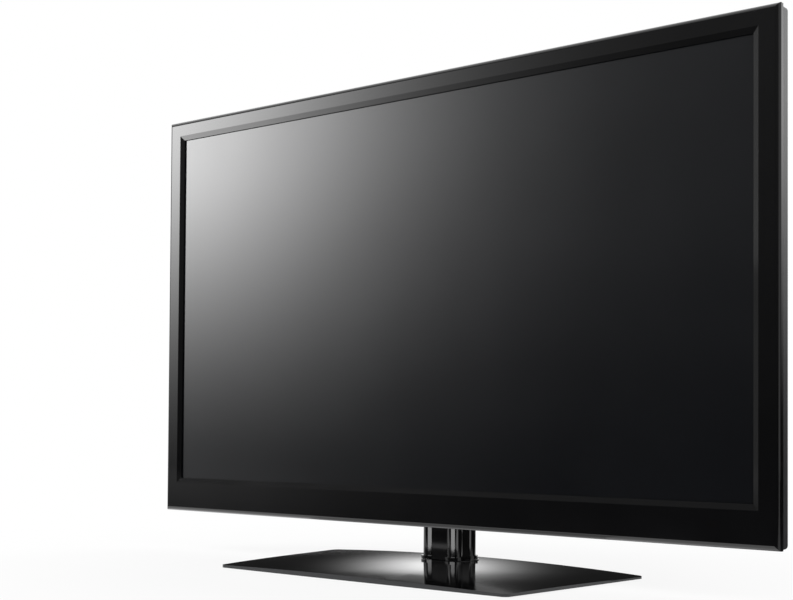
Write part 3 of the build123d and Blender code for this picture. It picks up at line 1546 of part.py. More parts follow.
with BuildPart() as neck_core:
    with BuildSketch(Plane.XY.offset(swivel_flange_z)):
        with Locations((0, neck_y)):
            Circle(swivel_flange_radius)
            Circle(pivot_radius + running_gap, mode=Mode.SUBTRACT)
            stop_arc = CenterArc(
                (0, 0),
                stop_pin_circle,
                -90 - swivel_angle - stop_slack,
                2 * (swivel_angle + stop_slack),
                mode=Mode.PRIVATE,
            )
            SlotArc(stop_arc, 2 * (stop_pin_radius + fit_gap), mode=Mode.SUBTRACT)
    extrude(amount=swivel_flange_thickness)
    with BuildSketch(Plane.XY.offset(swivel_flange_top_z)):
        with Locations((0, neck_y)):
            Rectangle(core_width, core_depth)
            Rectangle(core_width - 2 * core_wall, core_depth - 2 * core_wall, mode=Mode.SUBTRACT)
    extrude(amount=core_flange_z - swivel_flange_top_z)
    with BuildSketch(Plane.XY.offset(core_flange_z)):
        with Locations((0, neck_y)):
            Rectangle(
                core_bolt_spacing_x + 2 * core_flange_side,
                core_bolt_spacing_y + 2 * core_flange_end,
            )
            Rectangle(core_width - 2 * core_wall, core_depth - 2 * core_wall, mode=Mode.SUBTRACT)
        with Locations(*core_bolts):
            Circle(stand_screw_radius + running_gap, mode=Mode.SUBTRACT)
    extrude(amount=bracket_thickness)

finish(neck_core, "neck_core")

with BuildPart() as neck_column:
    with BuildSketch(Plane.XY.offset(column_foot_z)):
        with Locations((0, neck_y)):
            add(column_outline())
            Rectangle(core_width + 2 * fit_gap, core_depth + 2 * fit_gap, mode=Mode.SUBTRACT)
    extrude(amount=column_top_z - column_foot_z)

finish(neck_column, "neck_column")

with BuildPart() as neck_collar:
    with BuildSketch(Plane.XY.offset(column_foot_z)):
        with Locations((0, neck_y)):
            add(offset(column_outline(), amount=running_gap + collar_width, mode=Mode.PRIVATE))
            add(offset(column_outline(), amount=running_gap, mode=Mode.PRIVATE), mode=Mode.SUBTRACT)
    extrude(amount=collar_height)

finish(neck_collar, "neck_collar")


# Base

def base_outline(shrink):
    """Plan of the base: bowed front and back edges, and ends that spread to the rear."""
    front_x = base_front_width / 2 - shrink
    back_x = base_back_width / 2 - shrink
    side_y = base_depth / 2 - shrink
    with BuildSketch() as outline:
        with BuildLine():
            ThreePointArc(
                (-front_x, base_front_bow - side_y),
                (0, -side_y),
                (front_x, base_front_bow - side_y),
            )
            Line((front_x, base_front_bow - side_y), (back_x, side_y - base_back_bow))
            ThreePointArc(
                (back_x, side_y - base_back_bow),
                (0, side_y),
                (-back_x, side_y - base_back_bow),
            )
            Line((-back_x, side_y - base_back_bow), (-front_x, base_front_bow - side_y))
        make_face()
        fillet(outline.vertices(), base_corner_radius - shrink / 2)
    return outline.sketch


def base_dome(drop):
    """Crowned top of the base, a smooth loft through three upright sections."""
    half = base_depth / 2 + base_dome_margin
    tip_heights = (base_tip_front_height, base_tip_height, base_tip_back_height)
    middle_heights = (base_front_height, base_height, base_back_height)
    with BuildPart() as dome:
        for section_x, heights in (
            (-base_back_width / 2, tip_heights),
            (0, middle_heights),
            (base_back_width / 2, tip_heights),
        ):
            front, crown, back = [height - drop for height in heights]
            with BuildSketch(Plane.YZ.offset(section_x)):
                with BuildLine():
                    ThreePointArc((-half, front), (base_crown_y, crown), (half, back))
                    Polyline(
                        (half, back),
                        (half, -base_dome_margin),
                        (-half, -base_dome_margin),
                        (-half, front),
                    )
                make_face()
        loft()
    return dome.part


with BuildPart() as base_cover:
    with BuildSketch(Plane.XY.offset(base_lift)):
        add(base_outline(0))
    extrude(amount=base_height)
    add(base_dome(0), mode=Mode.INTERSECT)
    # Flat round seat under the neck
    with BuildSketch(Plane.XY.offset(base_lift)):
        with Locations((0, neck_y)):
            Circle(swivel_seat_radius)
    extrude(amount=seat_top_z - base_lift)

with BuildPart() as base_hollow:
    with BuildSketch():
        add(base_outline(base_skin))
    extrude(amount=base_height)
    add(base_dome(base_skin), mode=Mode.INTERSECT)

with BuildPart() as base_bosses:
    with BuildSketch(Plane.XY.offset(plate_top_z + stack_gap)):
        with GridLocations(base_screw_spacing_x, base_screw_spacing_y, 2, 2):
            Circle(base_boss_radius)
            Circle(base_pilot_radius, mode=Mode.SUBTRACT)
    extrude(amount=base_height)
    add(base_dome(base_skin / 2), mode=Mode.INTERSECT)

with base_cover:
    add(base_hollow.part, mode=Mode.SUBTRACT)
    add(base_bosses.part)
    with BuildSketch():
        with Locations((0, neck_y)):
            Circle(swivel_hole_radius)
    extrude(amount=2 * base_height, mode=Mode.SUBTRACT)

finish(base_cover, "base_cover")

with BuildPart() as base_plate:
    with BuildSketch(Plane.XY.offset(plate_z)):
        RectangleRounded(base_plate_width, base_plate_depth, base_plate_corner)
        with Locations((0, neck_y)):
            Circle(pivot_radius + running_gap, mode=Mode.SUBTRACT)
    extrude(amount=base_plate_thickness)
    with BuildSketch(Plane.XY.offset(plate_top_z)):
        with Locations((0, neck_y - stop_pin_circle)):
            Circle(stop_pin_radius)
    extrude(amount=swivel_flange_top_z - plate_top_z - stop_pin_recess)
    with GridLocations(base_screw_spacing_x, base_screw_spacing_y, 2, 2):
        with Locations(Location((0, 0, plate_z), (180, 0, 0))):
            CounterSinkHole(
                base_screw_hole_radius,
                base_screw_head_radius + fit_gap,
                depth=2 * base_plate_thickness,
            )

finish(base_plate, "base_plate")

with BuildPart() as base_screws:
    with GridLocations(base_screw_spacing_x, base_screw_spacing_y, 2, 2):
        with Locations((0, 0, plate_z + base_screw_head_height / 2)):
            Cone(base_screw_head_radius, base_screw_radius, base_screw_head_height)
        with Locations((0, 0, plate_z + base_screw_head_height / 2 + base_screw_length / 2)):
            Cylinder(base_screw_radius, base_screw_length)

finish(base_screws, "base_screws")

with BuildPart() as base_feet:
    with GridLocations(foot_spacing_x, foot_spacing_y, 2, 2):
        Cylinder(foot_radius, foot_thickness, align=(Align.CENTER, Align.CENTER, Align.MIN))
    with GridLocations(1, foot_spacing_y, 1, 2):
        Cylinder(foot_radius, foot_thickness, align=(Align.CENTER, Align.CENTER, Align.MIN))

finish(base_feet, "base_feet")

with BuildPart() as swivel_washer:
    with BuildSketch(Plane.XY.offset(plate_top_z + stack_gap)):
        with Locations((0, neck_y)):
            Circle(swivel_washer_radius)
            Circle(pivot_radius + fit_gap, mode=Mode.SUBTRACT)
    extrude(amount=swivel_washer_thickness)

finish(swivel_washer, "swivel_washer")

spring_washer_z = swivel_flange_top_z + stack_gap
pivot_nut_z = spring_washer_z + spring_washer_thickness

with BuildPart() as pivot_stud:
    with BuildSketch(Plane.XY.offset(plate_z)):
        with Locations((0, neck_y)):
            Circle(pivot_head_radius)
    extrude(amount=-pivot_head_height)
    with BuildSketch(Plane.XY.offset(plate_z)):
        with Locations((0, neck_y)):
            Circle(pivot_radius)
    extrude(amount=pivot_nut_z + pivot_nut_height + stud_standout - plate_z)

finish(pivot_stud, "pivot_stud")

with BuildPart() as spring_washer:
    with BuildSketch(Plane.XY.offset(spring_washer_z)):
        with Locations((0, neck_y)):
            Circle(pivot_nut_flats / 2 + spring_washer_margin)
            Circle(pivot_radius + fit_gap, mode=Mode.SUBTRACT)
    extrude(amount=spring_washer_thickness)

finish(spring_washer, "spring_washer")

with BuildPart() as pivot_nut:
    with BuildSketch(Plane.XY.offset(pivot_nut_z)):
        with Locations((0, neck_y)):
            RegularPolygon(pivot_nut_flats / 2, 6, major_radius=False)
            Circle(pivot_radius + running_gap, mode=Mode.SUBTRACT)
    extrude(amount=pivot_nut_height)

finish(pivot_nut, "pivot_nut")
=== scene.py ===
import math

import bmesh
import bpy
from mathutils import Matrix, Vector


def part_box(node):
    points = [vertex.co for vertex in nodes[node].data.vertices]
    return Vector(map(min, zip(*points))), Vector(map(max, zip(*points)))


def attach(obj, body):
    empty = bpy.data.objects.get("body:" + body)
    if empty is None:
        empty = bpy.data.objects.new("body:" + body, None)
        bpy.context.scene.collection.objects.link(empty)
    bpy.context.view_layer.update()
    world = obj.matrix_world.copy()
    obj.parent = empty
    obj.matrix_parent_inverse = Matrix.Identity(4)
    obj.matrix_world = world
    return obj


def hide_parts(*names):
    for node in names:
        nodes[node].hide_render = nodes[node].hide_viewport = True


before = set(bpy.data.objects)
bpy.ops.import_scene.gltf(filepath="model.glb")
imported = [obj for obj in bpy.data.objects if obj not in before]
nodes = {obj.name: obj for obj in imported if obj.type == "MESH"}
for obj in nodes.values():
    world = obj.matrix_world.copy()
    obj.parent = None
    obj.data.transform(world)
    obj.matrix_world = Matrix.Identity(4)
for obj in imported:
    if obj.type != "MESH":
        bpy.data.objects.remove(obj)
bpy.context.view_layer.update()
scene = bpy.context.scene
scene.view_settings.view_transform = "Standard"


# Camera, as fitted to the corners of the set and of its base in the photograph

image_width = 793
image_height = 600
camera_place = Vector((1.0625, -1.3882, 0.1989))
camera_yaw = math.radians(38.412)
camera_pitch = math.radians(1.360)
camera_roll = math.radians(0.399)
focal_pixels = 1305.6
horizon_pixel = 391.9
sensor_width = 36.0


def make_camera():
    """Camera at the photograph's place, looking to the left and back."""
    level_ahead = Vector((-math.sin(camera_yaw), math.cos(camera_yaw), 0))
    level_right = Vector((math.cos(camera_yaw), math.sin(camera_yaw), 0))
    upright = Vector((0, 0, 1))
    ahead = level_ahead * math.cos(camera_pitch) + upright * math.sin(camera_pitch)
    above = upright * math.cos(camera_pitch) - level_ahead * math.sin(camera_pitch)
    right = level_right * math.cos(camera_roll) + above * math.sin(camera_roll)
    above = above * math.cos(camera_roll) - level_right * math.sin(camera_roll)
    data = bpy.data.cameras.new("camera")
    data.sensor_width = sensor_width
    data.lens = focal_pixels * sensor_width / image_width
    data.shift_y = (horizon_pixel - image_height / 2) / image_width
    camera = bpy.data.objects.new("camera", data)
    turn = Matrix((right, above, -ahead)).transposed().to_4x4()
    camera.matrix_world = Matrix.Translation(camera_place) @ turn
    scene.collection.objects.link(camera)
    scene.camera = camera


make_camera()


# Node trees

# Sockets of the Mix node that its colours use
mix_factor = 0
mix_first = 6
mix_second = 7
mix_result = 2

even = (1, 1, 1)

# The range that noise mostly fills
noise_low = 0.3
noise_high = 0.7


def blank_material(name):
    """A node material with only its output, its tree, and the socket of its surface."""
    material = bpy.data.materials.new(name)
    material.use_nodes = True
    tree = material.node_tree
    tree.nodes.clear()
    output = tree.nodes.new("ShaderNodeOutputMaterial")
    return material, tree, output.inputs["Surface"]


def shaded_material(name):
    """A node material with its tree and its shader."""
    material, tree, surface = blank_material(name)
    shader = tree.nodes.new("ShaderNodeBsdfPrincipled")
    tree.links.new(shader.outputs["BSDF"], surface)
    return material, tree, shader


def feed(tree, value, socket):
    """Links a socket to another one, or sets it to a plain number or colour."""
    if isinstance(value, bpy.types.NodeSocket):
        tree.links.new(value, socket)
    elif socket.type == "RGBA":
        socket.default_value = (*value, 1)
    else:
        socket.default_value = value


def noise(tree, scale, detail, stretch=even, roughness=0.5):
    """Noise over the object's own coordinates, drawn out along an axis by the stretch."""
    coords = tree.nodes.new("ShaderNodeTexCoord")
    mapping = tree.nodes.new("ShaderNodeMapping")
    mapping.inputs["Scale"].default_value = stretch
    texture = tree.nodes.new("ShaderNodeTexNoise")
    texture.inputs["Scale"].default_value = scale
    texture.inputs["Detail"].default_value = detail
    texture.inputs["Roughness"].default_value = roughness
    tree.links.new(coords.outputs["Object"], mapping.inputs["Vector"])
    tree.links.new(mapping.outputs["Vector"], texture.inputs["Vector"])
    return texture.outputs["Fac"]


def spread(tree, value, low, high, from_low=noise_low, from_high=noise_high):
    """A value brought from one range into another."""
    ranger = tree.nodes.new("ShaderNodeMapRange")
    ranger.inputs["From Min"].default_value = from_low
    ranger.inputs["From Max"].default_value = from_high
    ranger.inputs["To Min"].default_value = low
    ranger.inputs["To Max"].default_value = high
    tree.links.new(value, ranger.inputs["Value"])
    return ranger.outputs["Result"]


def calculate(tree, operation, *values, clamp=False):
    """One step of arithmetic on sockets or plain values."""
    step = tree.nodes.new("ShaderNodeMath")
    step.operation = operation
    step.use_clamp = clamp
    for value, socket in zip(values, step.inputs):
        feed(tree, value, socket)
    return step.outputs[0]


def blend_colours(tree, value, first, second):
    """A colour between two, by a value from 0 to 1."""
    mixer = tree.nodes.new("ShaderNodeMix")
    mixer.data_type = "RGBA"
    feed(tree, value, mixer.inputs[mix_factor])
    feed(tree, first, mixer.inputs[mix_first])
    feed(tree, second, mixer.inputs[mix_second])
    return mixer.outputs[mix_result]


def object_axes(tree):
    """The x, y and z of the object's own coordinates."""
    coords = tree.nodes.new("ShaderNodeTexCoord")
    axes = tree.nodes.new("ShaderNodeSeparateXYZ")
    tree.links.new(coords.outputs["Object"], axes.inputs[0])
    return axes.outputs


def bump(tree, shader, value, strength, depth):
    """Fine relief of a value on the shader's surface."""
    bumper = tree.nodes.new("ShaderNodeBump")
    bumper.inputs["Strength"].default_value = strength
    bumper.inputs["Distance"].default_value = depth
    tree.links.new(value, bumper.inputs["Height"])
    tree.links.new(bumper.outputs["Normal"], shader.inputs["Normal"])


# Materials: scales are in cells per metre, depths of relief in metres

grain_detail = 2.0

# Plastic: at full haze its patches are this much lighter, and glossier and duller by these shares.
# Its worn edges are lighter, and start and end at these values of the pointiness.
plastic_patch_scale = 14.0
plastic_patch_detail = 4.0
plastic_relief_depth = 0.0004
haze_lift = 0.004
haze_gloss = 0.12
haze_dull = 0.14
rubbed_share = 0.6
rubbed_lift = 0.09
wear_start = 0.52
wear_full = 0.60

# Metal: the shares of its colour and roughness in dull patches, and of its roughness in bright ones
metal_patch_scale = 22.0
metal_patch_detail = 5.0
metal_relief_depth = 0.0002
dull_share = 0.78
dull_rough = 1.3
bright_rough = 0.8

# Gloss: handling marks are this many times as light and as rough, and hairlines are drawn out along x
gloss_ior = 1.5
smear_scale = 9.0
smear_detail = 5.0
smear_roughness = 0.6
smear_lift = 1.5
smear_rough = 1.8
hairline_scale = 900.0
hairline_stretch = (0.02, 1, 1)
fine_relief_depth = 0.0001

# Lip of the base: the slopes, as z of the normal, at which it is full and at which it ends, and the
# roughness that it adds. Its lighter colour on the upright edges is a painted reflection.
lip_upright = 0.55
lip_level = 0.85
lip_rough = 0.25

# Film of the screen
film_scale = 6.0
film_detail = 3.0
film_grain_detail = 1.0


def plastic_skin(tree, shader, patches, rough, grain, relief, stretch=even, haze=1.0):
    """Patchy sheen and moulded grain on the shader of a plastic."""
    glossy = rough * (1 - haze_gloss * haze)
    dull = rough * (1 + haze_dull * haze)
    feed(tree, spread(tree, patches, glossy, dull), shader.inputs["Roughness"])
    bump(tree, shader, noise(tree, grain, grain_detail, stretch), relief, plastic_relief_depth)


def plastic(name, colour, rough, grain, relief, variation=0.15, wear=0.25, stretch=even, haze=1.0):
    """Moulded plastic: grain in its relief, patchy sheen, and edges a little rubbed."""
    material, tree, shader = shaded_material(name)
    lighter = [min(1.0, channel * (1 + variation) + haze_lift * haze) for channel in colour]
    rubbed = [channel * rubbed_share + rubbed_lift for channel in colour]
    patches = noise(tree, plastic_patch_scale, plastic_patch_detail)
    fresh = blend_colours(tree, spread(tree, patches, 0.0, 1.0), colour, lighter)
    geometry = tree.nodes.new("ShaderNodeNewGeometry")
    worn = spread(tree, geometry.outputs["Pointiness"], 0.0, wear, wear_start, wear_full)
    feed(tree, blend_colours(tree, worn, fresh, rubbed), shader.inputs["Base Color"])
    plastic_skin(tree, shader, patches, rough, grain, relief, stretch, haze)
    return material


def metal(name, colour, rough, stretch=even, brushing=400.0, relief=0.08):
    """Bare or plated metal with a brushed grain and dull patches."""
    material, tree, shader = shaded_material(name)
    shader.inputs["Metallic"].default_value = 1.0
    patches = noise(tree, metal_patch_scale, metal_patch_detail)
    dull = [channel * dull_share for channel in colour]
    patchy = blend_colours(tree, spread(tree, patches, 0.0, 1.0), dull, colour)
    feed(tree, patchy, shader.inputs["Base Color"])
    sheen = spread(tree, patches, rough * dull_rough, rough * bright_rough)
    feed(tree, sheen, shader.inputs["Roughness"])
    bump(tree, shader, noise(tree, brushing, grain_detail, stretch), relief, metal_relief_depth)
    return material


def smear_noise(tree):
    """Noise of the faint handling marks on a glossy surface."""
    return noise(tree, smear_scale, smear_detail, even, smear_roughness)


def gloss_black(name, colour, rough, hairline=0.0, sheen=0.5):
    """High-gloss black plastic with faint hairlines along x and a trace of handling marks."""
    material, tree, shader = shaded_material(name)
    shader.inputs["IOR"].default_value = gloss_ior
    shader.inputs["Specular IOR Level"].default_value = sheen
    smears = smear_noise(tree)
    softened = [channel * smear_lift for channel in colour]
    handled = blend_colours(tree, spread(tree, smears, 0.0, 1.0), colour, softened)
    feed(tree, handled, shader.inputs["Base Color"])
    feed(tree, spread(tree, smears, rough, rough * smear_rough), shader.inputs["Roughness"])
    hairlines = noise(tree, hairline_scale, grain_detail, hairline_stretch)
    bump(tree, shader, hairlines, hairline, fine_relief_depth)
    return material


def base_gloss(name, colour, lip_painted_reflection, rough):
    """High-gloss black with handling marks, whose upright edges are a rougher satin, painted lighter as a
    painted reflection.
    """
    material, tree, shader = shaded_material(name)
    shader.inputs["IOR"].default_value = gloss_ior
    smears = smear_noise(tree)
    geometry = tree.nodes.new("ShaderNodeNewGeometry")
    axes = tree.nodes.new("ShaderNodeSeparateXYZ")
    tree.links.new(geometry.outputs["Normal"], axes.inputs[0])
    slope = calculate(tree, "ABSOLUTE", axes.outputs["Z"])
    lip = spread(tree, slope, 1.0, 0.0, lip_upright, lip_level)
    # The upright edges are painted lighter: a painted reflection.
    feed(tree, blend_colours(tree, lip, colour, lip_painted_reflection), shader.inputs["Base Color"])
    sheen = spread(tree, smears, rough, rough * smear_rough)
    satin = calculate(tree, "MULTIPLY", lip, lip_rough)
    feed(tree, calculate(tree, "ADD", sheen, satin), shader.inputs["Roughness"])
    return material


def screen_film(name, dark, light, glossy, dull, grain, relief):
    """Semi-gloss film over the dark cell, with the faint grain of its anti-glare layer."""
    material, tree, shader = shaded_material(name)
    shader.inputs["IOR"].default_value = gloss_ior
    film = noise(tree, film_scale, film_detail)
    cloudy = blend_colours(tree, spread(tree, film, 0.0, 1.0), dark, light)
    feed(tree, cloudy, shader.inputs["Base Color"])
    feed(tree, spread(tree, film, glossy, dull), shader.inputs["Roughness"])
    bump(tree, shader, noise(tree, grain, film_grain_detail), relief, fine_relief_depth)
    return material


def phono_row(name, node, colours, rough, grain, relief):
    """Coloured plastic of a row of phono sockets, one colour to each along x."""
    material, tree, shader = shaded_material(name)
    low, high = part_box(node)
    along = spread(tree, object_axes(tree)["X"], 0.0, 1.0, low[0], high[0])
    ramp = tree.nodes.new("ShaderNodeValToRGB")
    ramp.color_ramp.interpolation = "CONSTANT"
    stops = ramp.color_ramp.elements
    stops[1].position = 1 / len(colours)
    for index in range(2, len(colours)):
        stops.new(index / len(colours))
    for stop, colour in zip(stops, colours):
        stop.color = (*colour, 1)
    tree.links.new(along, ramp.inputs[0])
    feed(tree, ramp.outputs[0], shader.inputs["Base Color"])
    patches = noise(tree, plastic_patch_scale, plastic_patch_detail)
    plastic_skin(tree, shader, patches, rough, grain, relief)
    return material


phono_red = (0.50, 0.020, 0.016)
phono_white = (0.66, 0.66, 0.62)
phono_yellow = (0.70, 0.46, 0.020)
phono_blue = (0.020, 0.070, 0.42)
phono_green = (0.020, 0.26, 0.060)

finishes = {
    "front_bezel": gloss_black(
        "bezel_gloss", (0.0020, 0.0020, 0.0022), rough=0.06, hairline=0.05, sheen=0.34
    ),
    "stand": gloss_black("stand_gloss", (0.0020, 0.0020, 0.0022), rough=0.05),
    # The lip colour of the base is a painted reflection on its upright edges.
    "base": base_gloss(
        "base_gloss", (0.0016, 0.0016, 0.0018), lip_painted_reflection=(0.030, 0.031, 0.033), rough=0.05
    ),
    "screen": screen_film(
        "screen_face",
        dark=(0.0036, 0.0040, 0.0052),
        light=(0.0050, 0.0055, 0.0069),
        glossy=0.17,
        dull=0.20,
        grain=1400.0,
        relief=0.03,
    ),
    "cover": plastic(
        "cover_grey", (0.017, 0.0175, 0.019), 0.34, grain=900, relief=0.22, variation=0.06, haze=0.25
    ),
    "keys": plastic("key_plastic", (0.060, 0.061, 0.066), 0.30, grain=1200, relief=0.10),
    "tint": plastic(
        "window_tint",
        (0.003, 0.0026, 0.0026),
        rough=0.08,
        grain=300,
        relief=0.0,
        variation=0.1,
        wear=0.0,
        haze=0.1,
    ),
    "steel": metal("sheet_steel", (0.56, 0.57, 0.58), 0.34, stretch=(1, 1, 0.06)),
    "zinc": metal("fastener_zinc", (0.62, 0.63, 0.64), 0.26),
    "black_steel": metal("black_steel", (0.06, 0.06, 0.062), 0.38),
    "frame_white": plastic(
        "frame_white", (0.74, 0.74, 0.72), 0.45, grain=600, relief=0.1, variation=0.05
    ),
    "film_white": plastic(
        "film_white", (0.80, 0.81, 0.82), 0.40, grain=300, relief=0.03, variation=0.03, wear=0.0
    ),
    "guide_clear": plastic(
        "guide_clear", (0.76, 0.82, 0.84), 0.10, grain=200, relief=0.0, variation=0.03, wear=0.0
    ),
    "lamp_strip": plastic("lamp_strip", (0.82, 0.82, 0.76), 0.40, grain=500, relief=0.05),
    "board_green": plastic(
        "board_green", (0.025, 0.150, 0.070), 0.30, grain=420, relief=0.10, variation=0.4
    ),
    "board_tan": plastic(
        "board_tan", (0.430, 0.290, 0.140), 0.50, grain=420, relief=0.10, variation=0.2
    ),
    "socket_metal": metal("socket_metal", (0.66, 0.66, 0.64), 0.28, stretch=(1, 1, 0.1)),
    "socket_black": plastic("socket_black", (0.016, 0.016, 0.018), 0.34, grain=1000, relief=0.12),
    "socket_blue": plastic("socket_blue", (0.030, 0.080, 0.360), 0.34, grain=1000, relief=0.12),
    "phono": phono_row(
        "phono_plastic",
        "av_jacks",
        (phono_red, phono_white, phono_yellow, phono_red, phono_blue, phono_green),
        rough=0.34,
        grain=1000,
        relief=0.12,
    ),
    "heat_sink": metal("heat_sink", (0.72, 0.73, 0.74), 0.36, stretch=(1, 1, 0.08)),
    "can": metal("can_aluminium", (0.10, 0.11, 0.17), 0.30),
    "ferrite": plastic("ferrite", (0.070, 0.066, 0.062), 0.55, grain=500, relief=0.30),
    "ribbon": plastic(
        "ribbon",
        (0.66, 0.64, 0.58),
        rough=0.35,
        grain=800,
        relief=0.20,
        variation=0.1,
        wear=0.0,
        stretch=(1, 1, 0.03),
    ),
    "jacket": plastic("wire_jacket", (0.090, 0.090, 0.095), 0.45, grain=700, relief=0.20),
    "speaker": plastic("speaker_plastic", (0.020, 0.020, 0.022), 0.50, grain=900, relief=0.30),
    "driver": metal("driver_metal", (0.20, 0.20, 0.21), 0.40),
    "rubber": plastic("foot_rubber", (0.022, 0.022, 0.022), 0.75, grain=700, relief=0.40),
    "nylon": plastic("nylon", (0.74, 0.73, 0.68), 0.38, grain=500, relief=0.08, variation=0.05),
}

node_finishes = {
    "front_bezel": ("front_bezel",),
    "stand": ("neck_column", "neck_collar"),
    "base": ("base_cover",),
    "screen": ("lcd_cell",),
    "cover": ("back_cover", "shoulder_cover"),
    "keys": tuple(name for name in nodes if name.endswith("_button")),
    "tint": ("ir_window",),
    "steel": ("back_chassis", "stand_bracket", "neck_core", "base_plate"),
    "zinc": (
        "rear_standoffs",
        "board_screws",
        "bracket_screws",
        "base_screws",
        "pivot_stud",
        "spring_washer",
        "pivot_nut",
    ),
    "black_steel": ("module_front_frame", "cover_screws", "shoulder_screws"),
    "frame_white": ("module_mid_frame",),
    "film_white": ("optical_sheets", "reflector_sheet"),
    "guide_clear": ("light_guide_plate",),
    "lamp_strip": ("led_bars",),
    "board_green": ("main_board", "timing_board", "source_boards", "key_board", "ir_board"),
    "board_tan": ("power_board",),
    "socket_metal": ("hdmi_ports", "usb_port", "tuner_module"),
    "socket_black": ("lan_jack", "ac_inlet"),
    "socket_blue": ("vga_port",),
    "phono": ("av_jacks",),
    "heat_sink": ("main_heatsink", "power_heatsinks"),
    "can": ("power_capacitors",),
    "ferrite": ("power_transformers",),
    "ribbon": ("source_cables", "lvds_cable"),
    "jacket": ("wire_harness",),
    "speaker": ("speaker_left", "speaker_right"),
    "driver": ("speaker_drivers",),
    "rubber": ("base_feet",),
    "nylon": ("swivel_washer",),
}


def dress_nodes():
    """Puts each finish in the slots of its nodes."""
    for finish, names in node_finishes.items():
        for name in names:
            piece = nodes[name]
            for slot in piece.material_slots:
                slot.material = finishes[finish]
            if not piece.material_slots:
                piece.data.materials.append(finishes[finish])


dress_nodes()


# Cross recesses of the screws, which the solids leave plain

# Metres within which two points are one, and two radii the same
weld = 1e-6
fit = 2e-5

# Sides of a screw, and its shares: of the head's height for its bevel and the recess's depth, of the
# head's radius for the recess's reach and half width, of the recess's mouth for its foot, and of the
# shank's radius for the chamfer of the tip
head_sides = 28
head_bevel = 0.14
recess_depth = 0.5
recess_reach = 0.60
recess_width = 0.15
recess_foot = 0.55
tip_chamfer = 0.5


def loose_parts(node):
    """The points of each loose part of a node's mesh."""
    shell = bmesh.new()
    shell.from_mesh(nodes[node].data)
    bmesh.ops.remove_doubles(shell, verts=shell.verts, dist=weld)
    seen = set()
    parts = []
    for first in shell.verts:
        if first in seen:
            continue
        seen.add(first)
        found = [first]
        for vert in found:
            for edge in vert.link_edges:
                other = edge.other_vert(vert)
                if other not in seen:
                    seen.add(other)
                    found.append(other)
        parts.append([vert.co.copy() for vert in found])
    shell.free()
    return parts


def ring_of(shell, radius, depth):
    """A round of vertices about the local z axis, at a depth below the top of the head."""
    turn = 2 * math.pi / head_sides
    return [
        shell.verts.new((radius * math.cos(turn * index), radius * math.sin(turn * index), -depth))
        for index in range(head_sides)
    ]


def cross_of(shell, reach, half_width, depth):
    """The twelve corners of a cross, at a depth below the top of the head."""
    corner = [(reach, -half_width), (reach, half_width), (half_width, half_width)]
    outline = []
    for quarter in range(4):
        for x, y in corner:
            for step in range(quarter):
                x, y = -y, x
            outline.append(shell.verts.new((x, y, -depth)))
    return outline


def bridge(shell, upper, lower):
    """Side faces between two rounds of as many vertices."""
    count = len(upper)
    for index in range(count):
        after = (index + 1) % count
        shell.faces.new((upper[index], lower[index], lower[after], upper[after]))


def round_edges(shell, outline):
    """The edges that close a round of vertices, made where they are missing."""
    edges = []
    for index, vert in enumerate(outline):
        after = outline[(index + 1) % len(outline)]
        edges.append(shell.edges.get((vert, after)) or shell.edges.new((vert, after)))
    return edges


def screw_shell(shell, place, head_radius, head_height, shank_radius, length, countersunk):
    """Screw with a cross recess, its head up along local z, set in place by a matrix."""
    start = len(shell.verts)
    bevel = head_height * head_bevel
    chamfer = shank_radius * tip_chamfer
    profile = [(head_radius - bevel, 0), (head_radius, bevel), (head_radius, head_height)]
    if countersunk:
        profile = [(head_radius, 0)]
    profile += [
        (shank_radius, head_height),
        (shank_radius, length - chamfer),
        (shank_radius - chamfer, length),
    ]
    rounds = [ring_of(shell, radius, depth) for radius, depth in profile]
    for upper, lower in zip(rounds, rounds[1:]):
        bridge(shell, upper, lower)
    shell.faces.new(rounds[-1][::-1])
    reach = head_radius * recess_reach
    half_width = head_radius * recess_width
    mouth = cross_of(shell, reach, half_width, 0)
    foot = cross_of(shell, reach * recess_foot, half_width * recess_foot, head_height * recess_depth)
    bridge(shell, mouth, foot)
    bmesh.ops.triangle_fill(shell, edges=round_edges(shell, foot), use_beauty=True)
    rim = round_edges(shell, rounds[0]) + round_edges(shell, mouth)
    bmesh.ops.triangle_fill(shell, edges=rim, use_beauty=True)
    shell.verts.ensure_lookup_table()
    for vert in shell.verts[start:]:
        vert.co = place @ vert.co


def add_piece(name, shell, finish, body):
    """Piece made of a finished shell, which rides on a body."""
    bmesh.ops.recalc_face_normals(shell, faces=shell.faces)
    mesh = bpy.data.meshes.new(name)
    shell.to_mesh(mesh)
    shell.free()
    mesh.materials.append(finish)
    piece = bpy.data.objects.new(name, mesh)
    scene.collection.objects.link(piece)
    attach(piece, body)
    return piece


def recessed_screws(node, outward, finish, body):
    """Screws with cross recesses in the place of a node whose heads look along the outward axis."""
    turn = Vector(outward).to_track_quat("Z", "Y").to_matrix()
    shell = bmesh.new()
    for points in loose_parts(node):
        local = [turn.transposed() @ point for point in points]
        middle = [
            (min(point[axis] for point in local) + max(point[axis] for point in local)) / 2
            for axis in (0, 1)
        ]
        radii = [math.hypot(point.x - middle[0], point.y - middle[1]) for point in local]
        heights = [point.z for point in local]
        outline = list(zip(radii, heights))
        top = max(heights)
        tip = min(heights)
        head_radius = max(radii)
        shank_radius = max(radius for radius, height in outline if height < tip + weld)
        head_foot = max(height for radius, height in outline if abs(radius - shank_radius) < fit)
        foot_radius = max(radius for radius, height in outline if abs(height - head_foot) < weld)
        countersunk = foot_radius < shank_radius + fit
        place = turn.to_4x4() @ Matrix.Translation((middle[0], middle[1], top))
        screw_shell(shell, place, head_radius, top - head_foot, shank_radius, top - tip, countersunk)
    piece = add_piece(node + "_recessed", shell, finish, body)
    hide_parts(node)


recessed_screws("cover_screws", (0, 1, 0), finishes["black_steel"], "set")
recessed_screws("shoulder_screws", (0, 1, 0), finishes["black_steel"], "set")
recessed_screws("base_screws", (0, 0, -1), finishes["zinc"], "base")


# Studio

ambient_strength = 0.45
floor_size = 12.0
floor_colour = (0.93, 0.93, 0.93)
floor_rough = 0.9
floor_sheen = 0.1

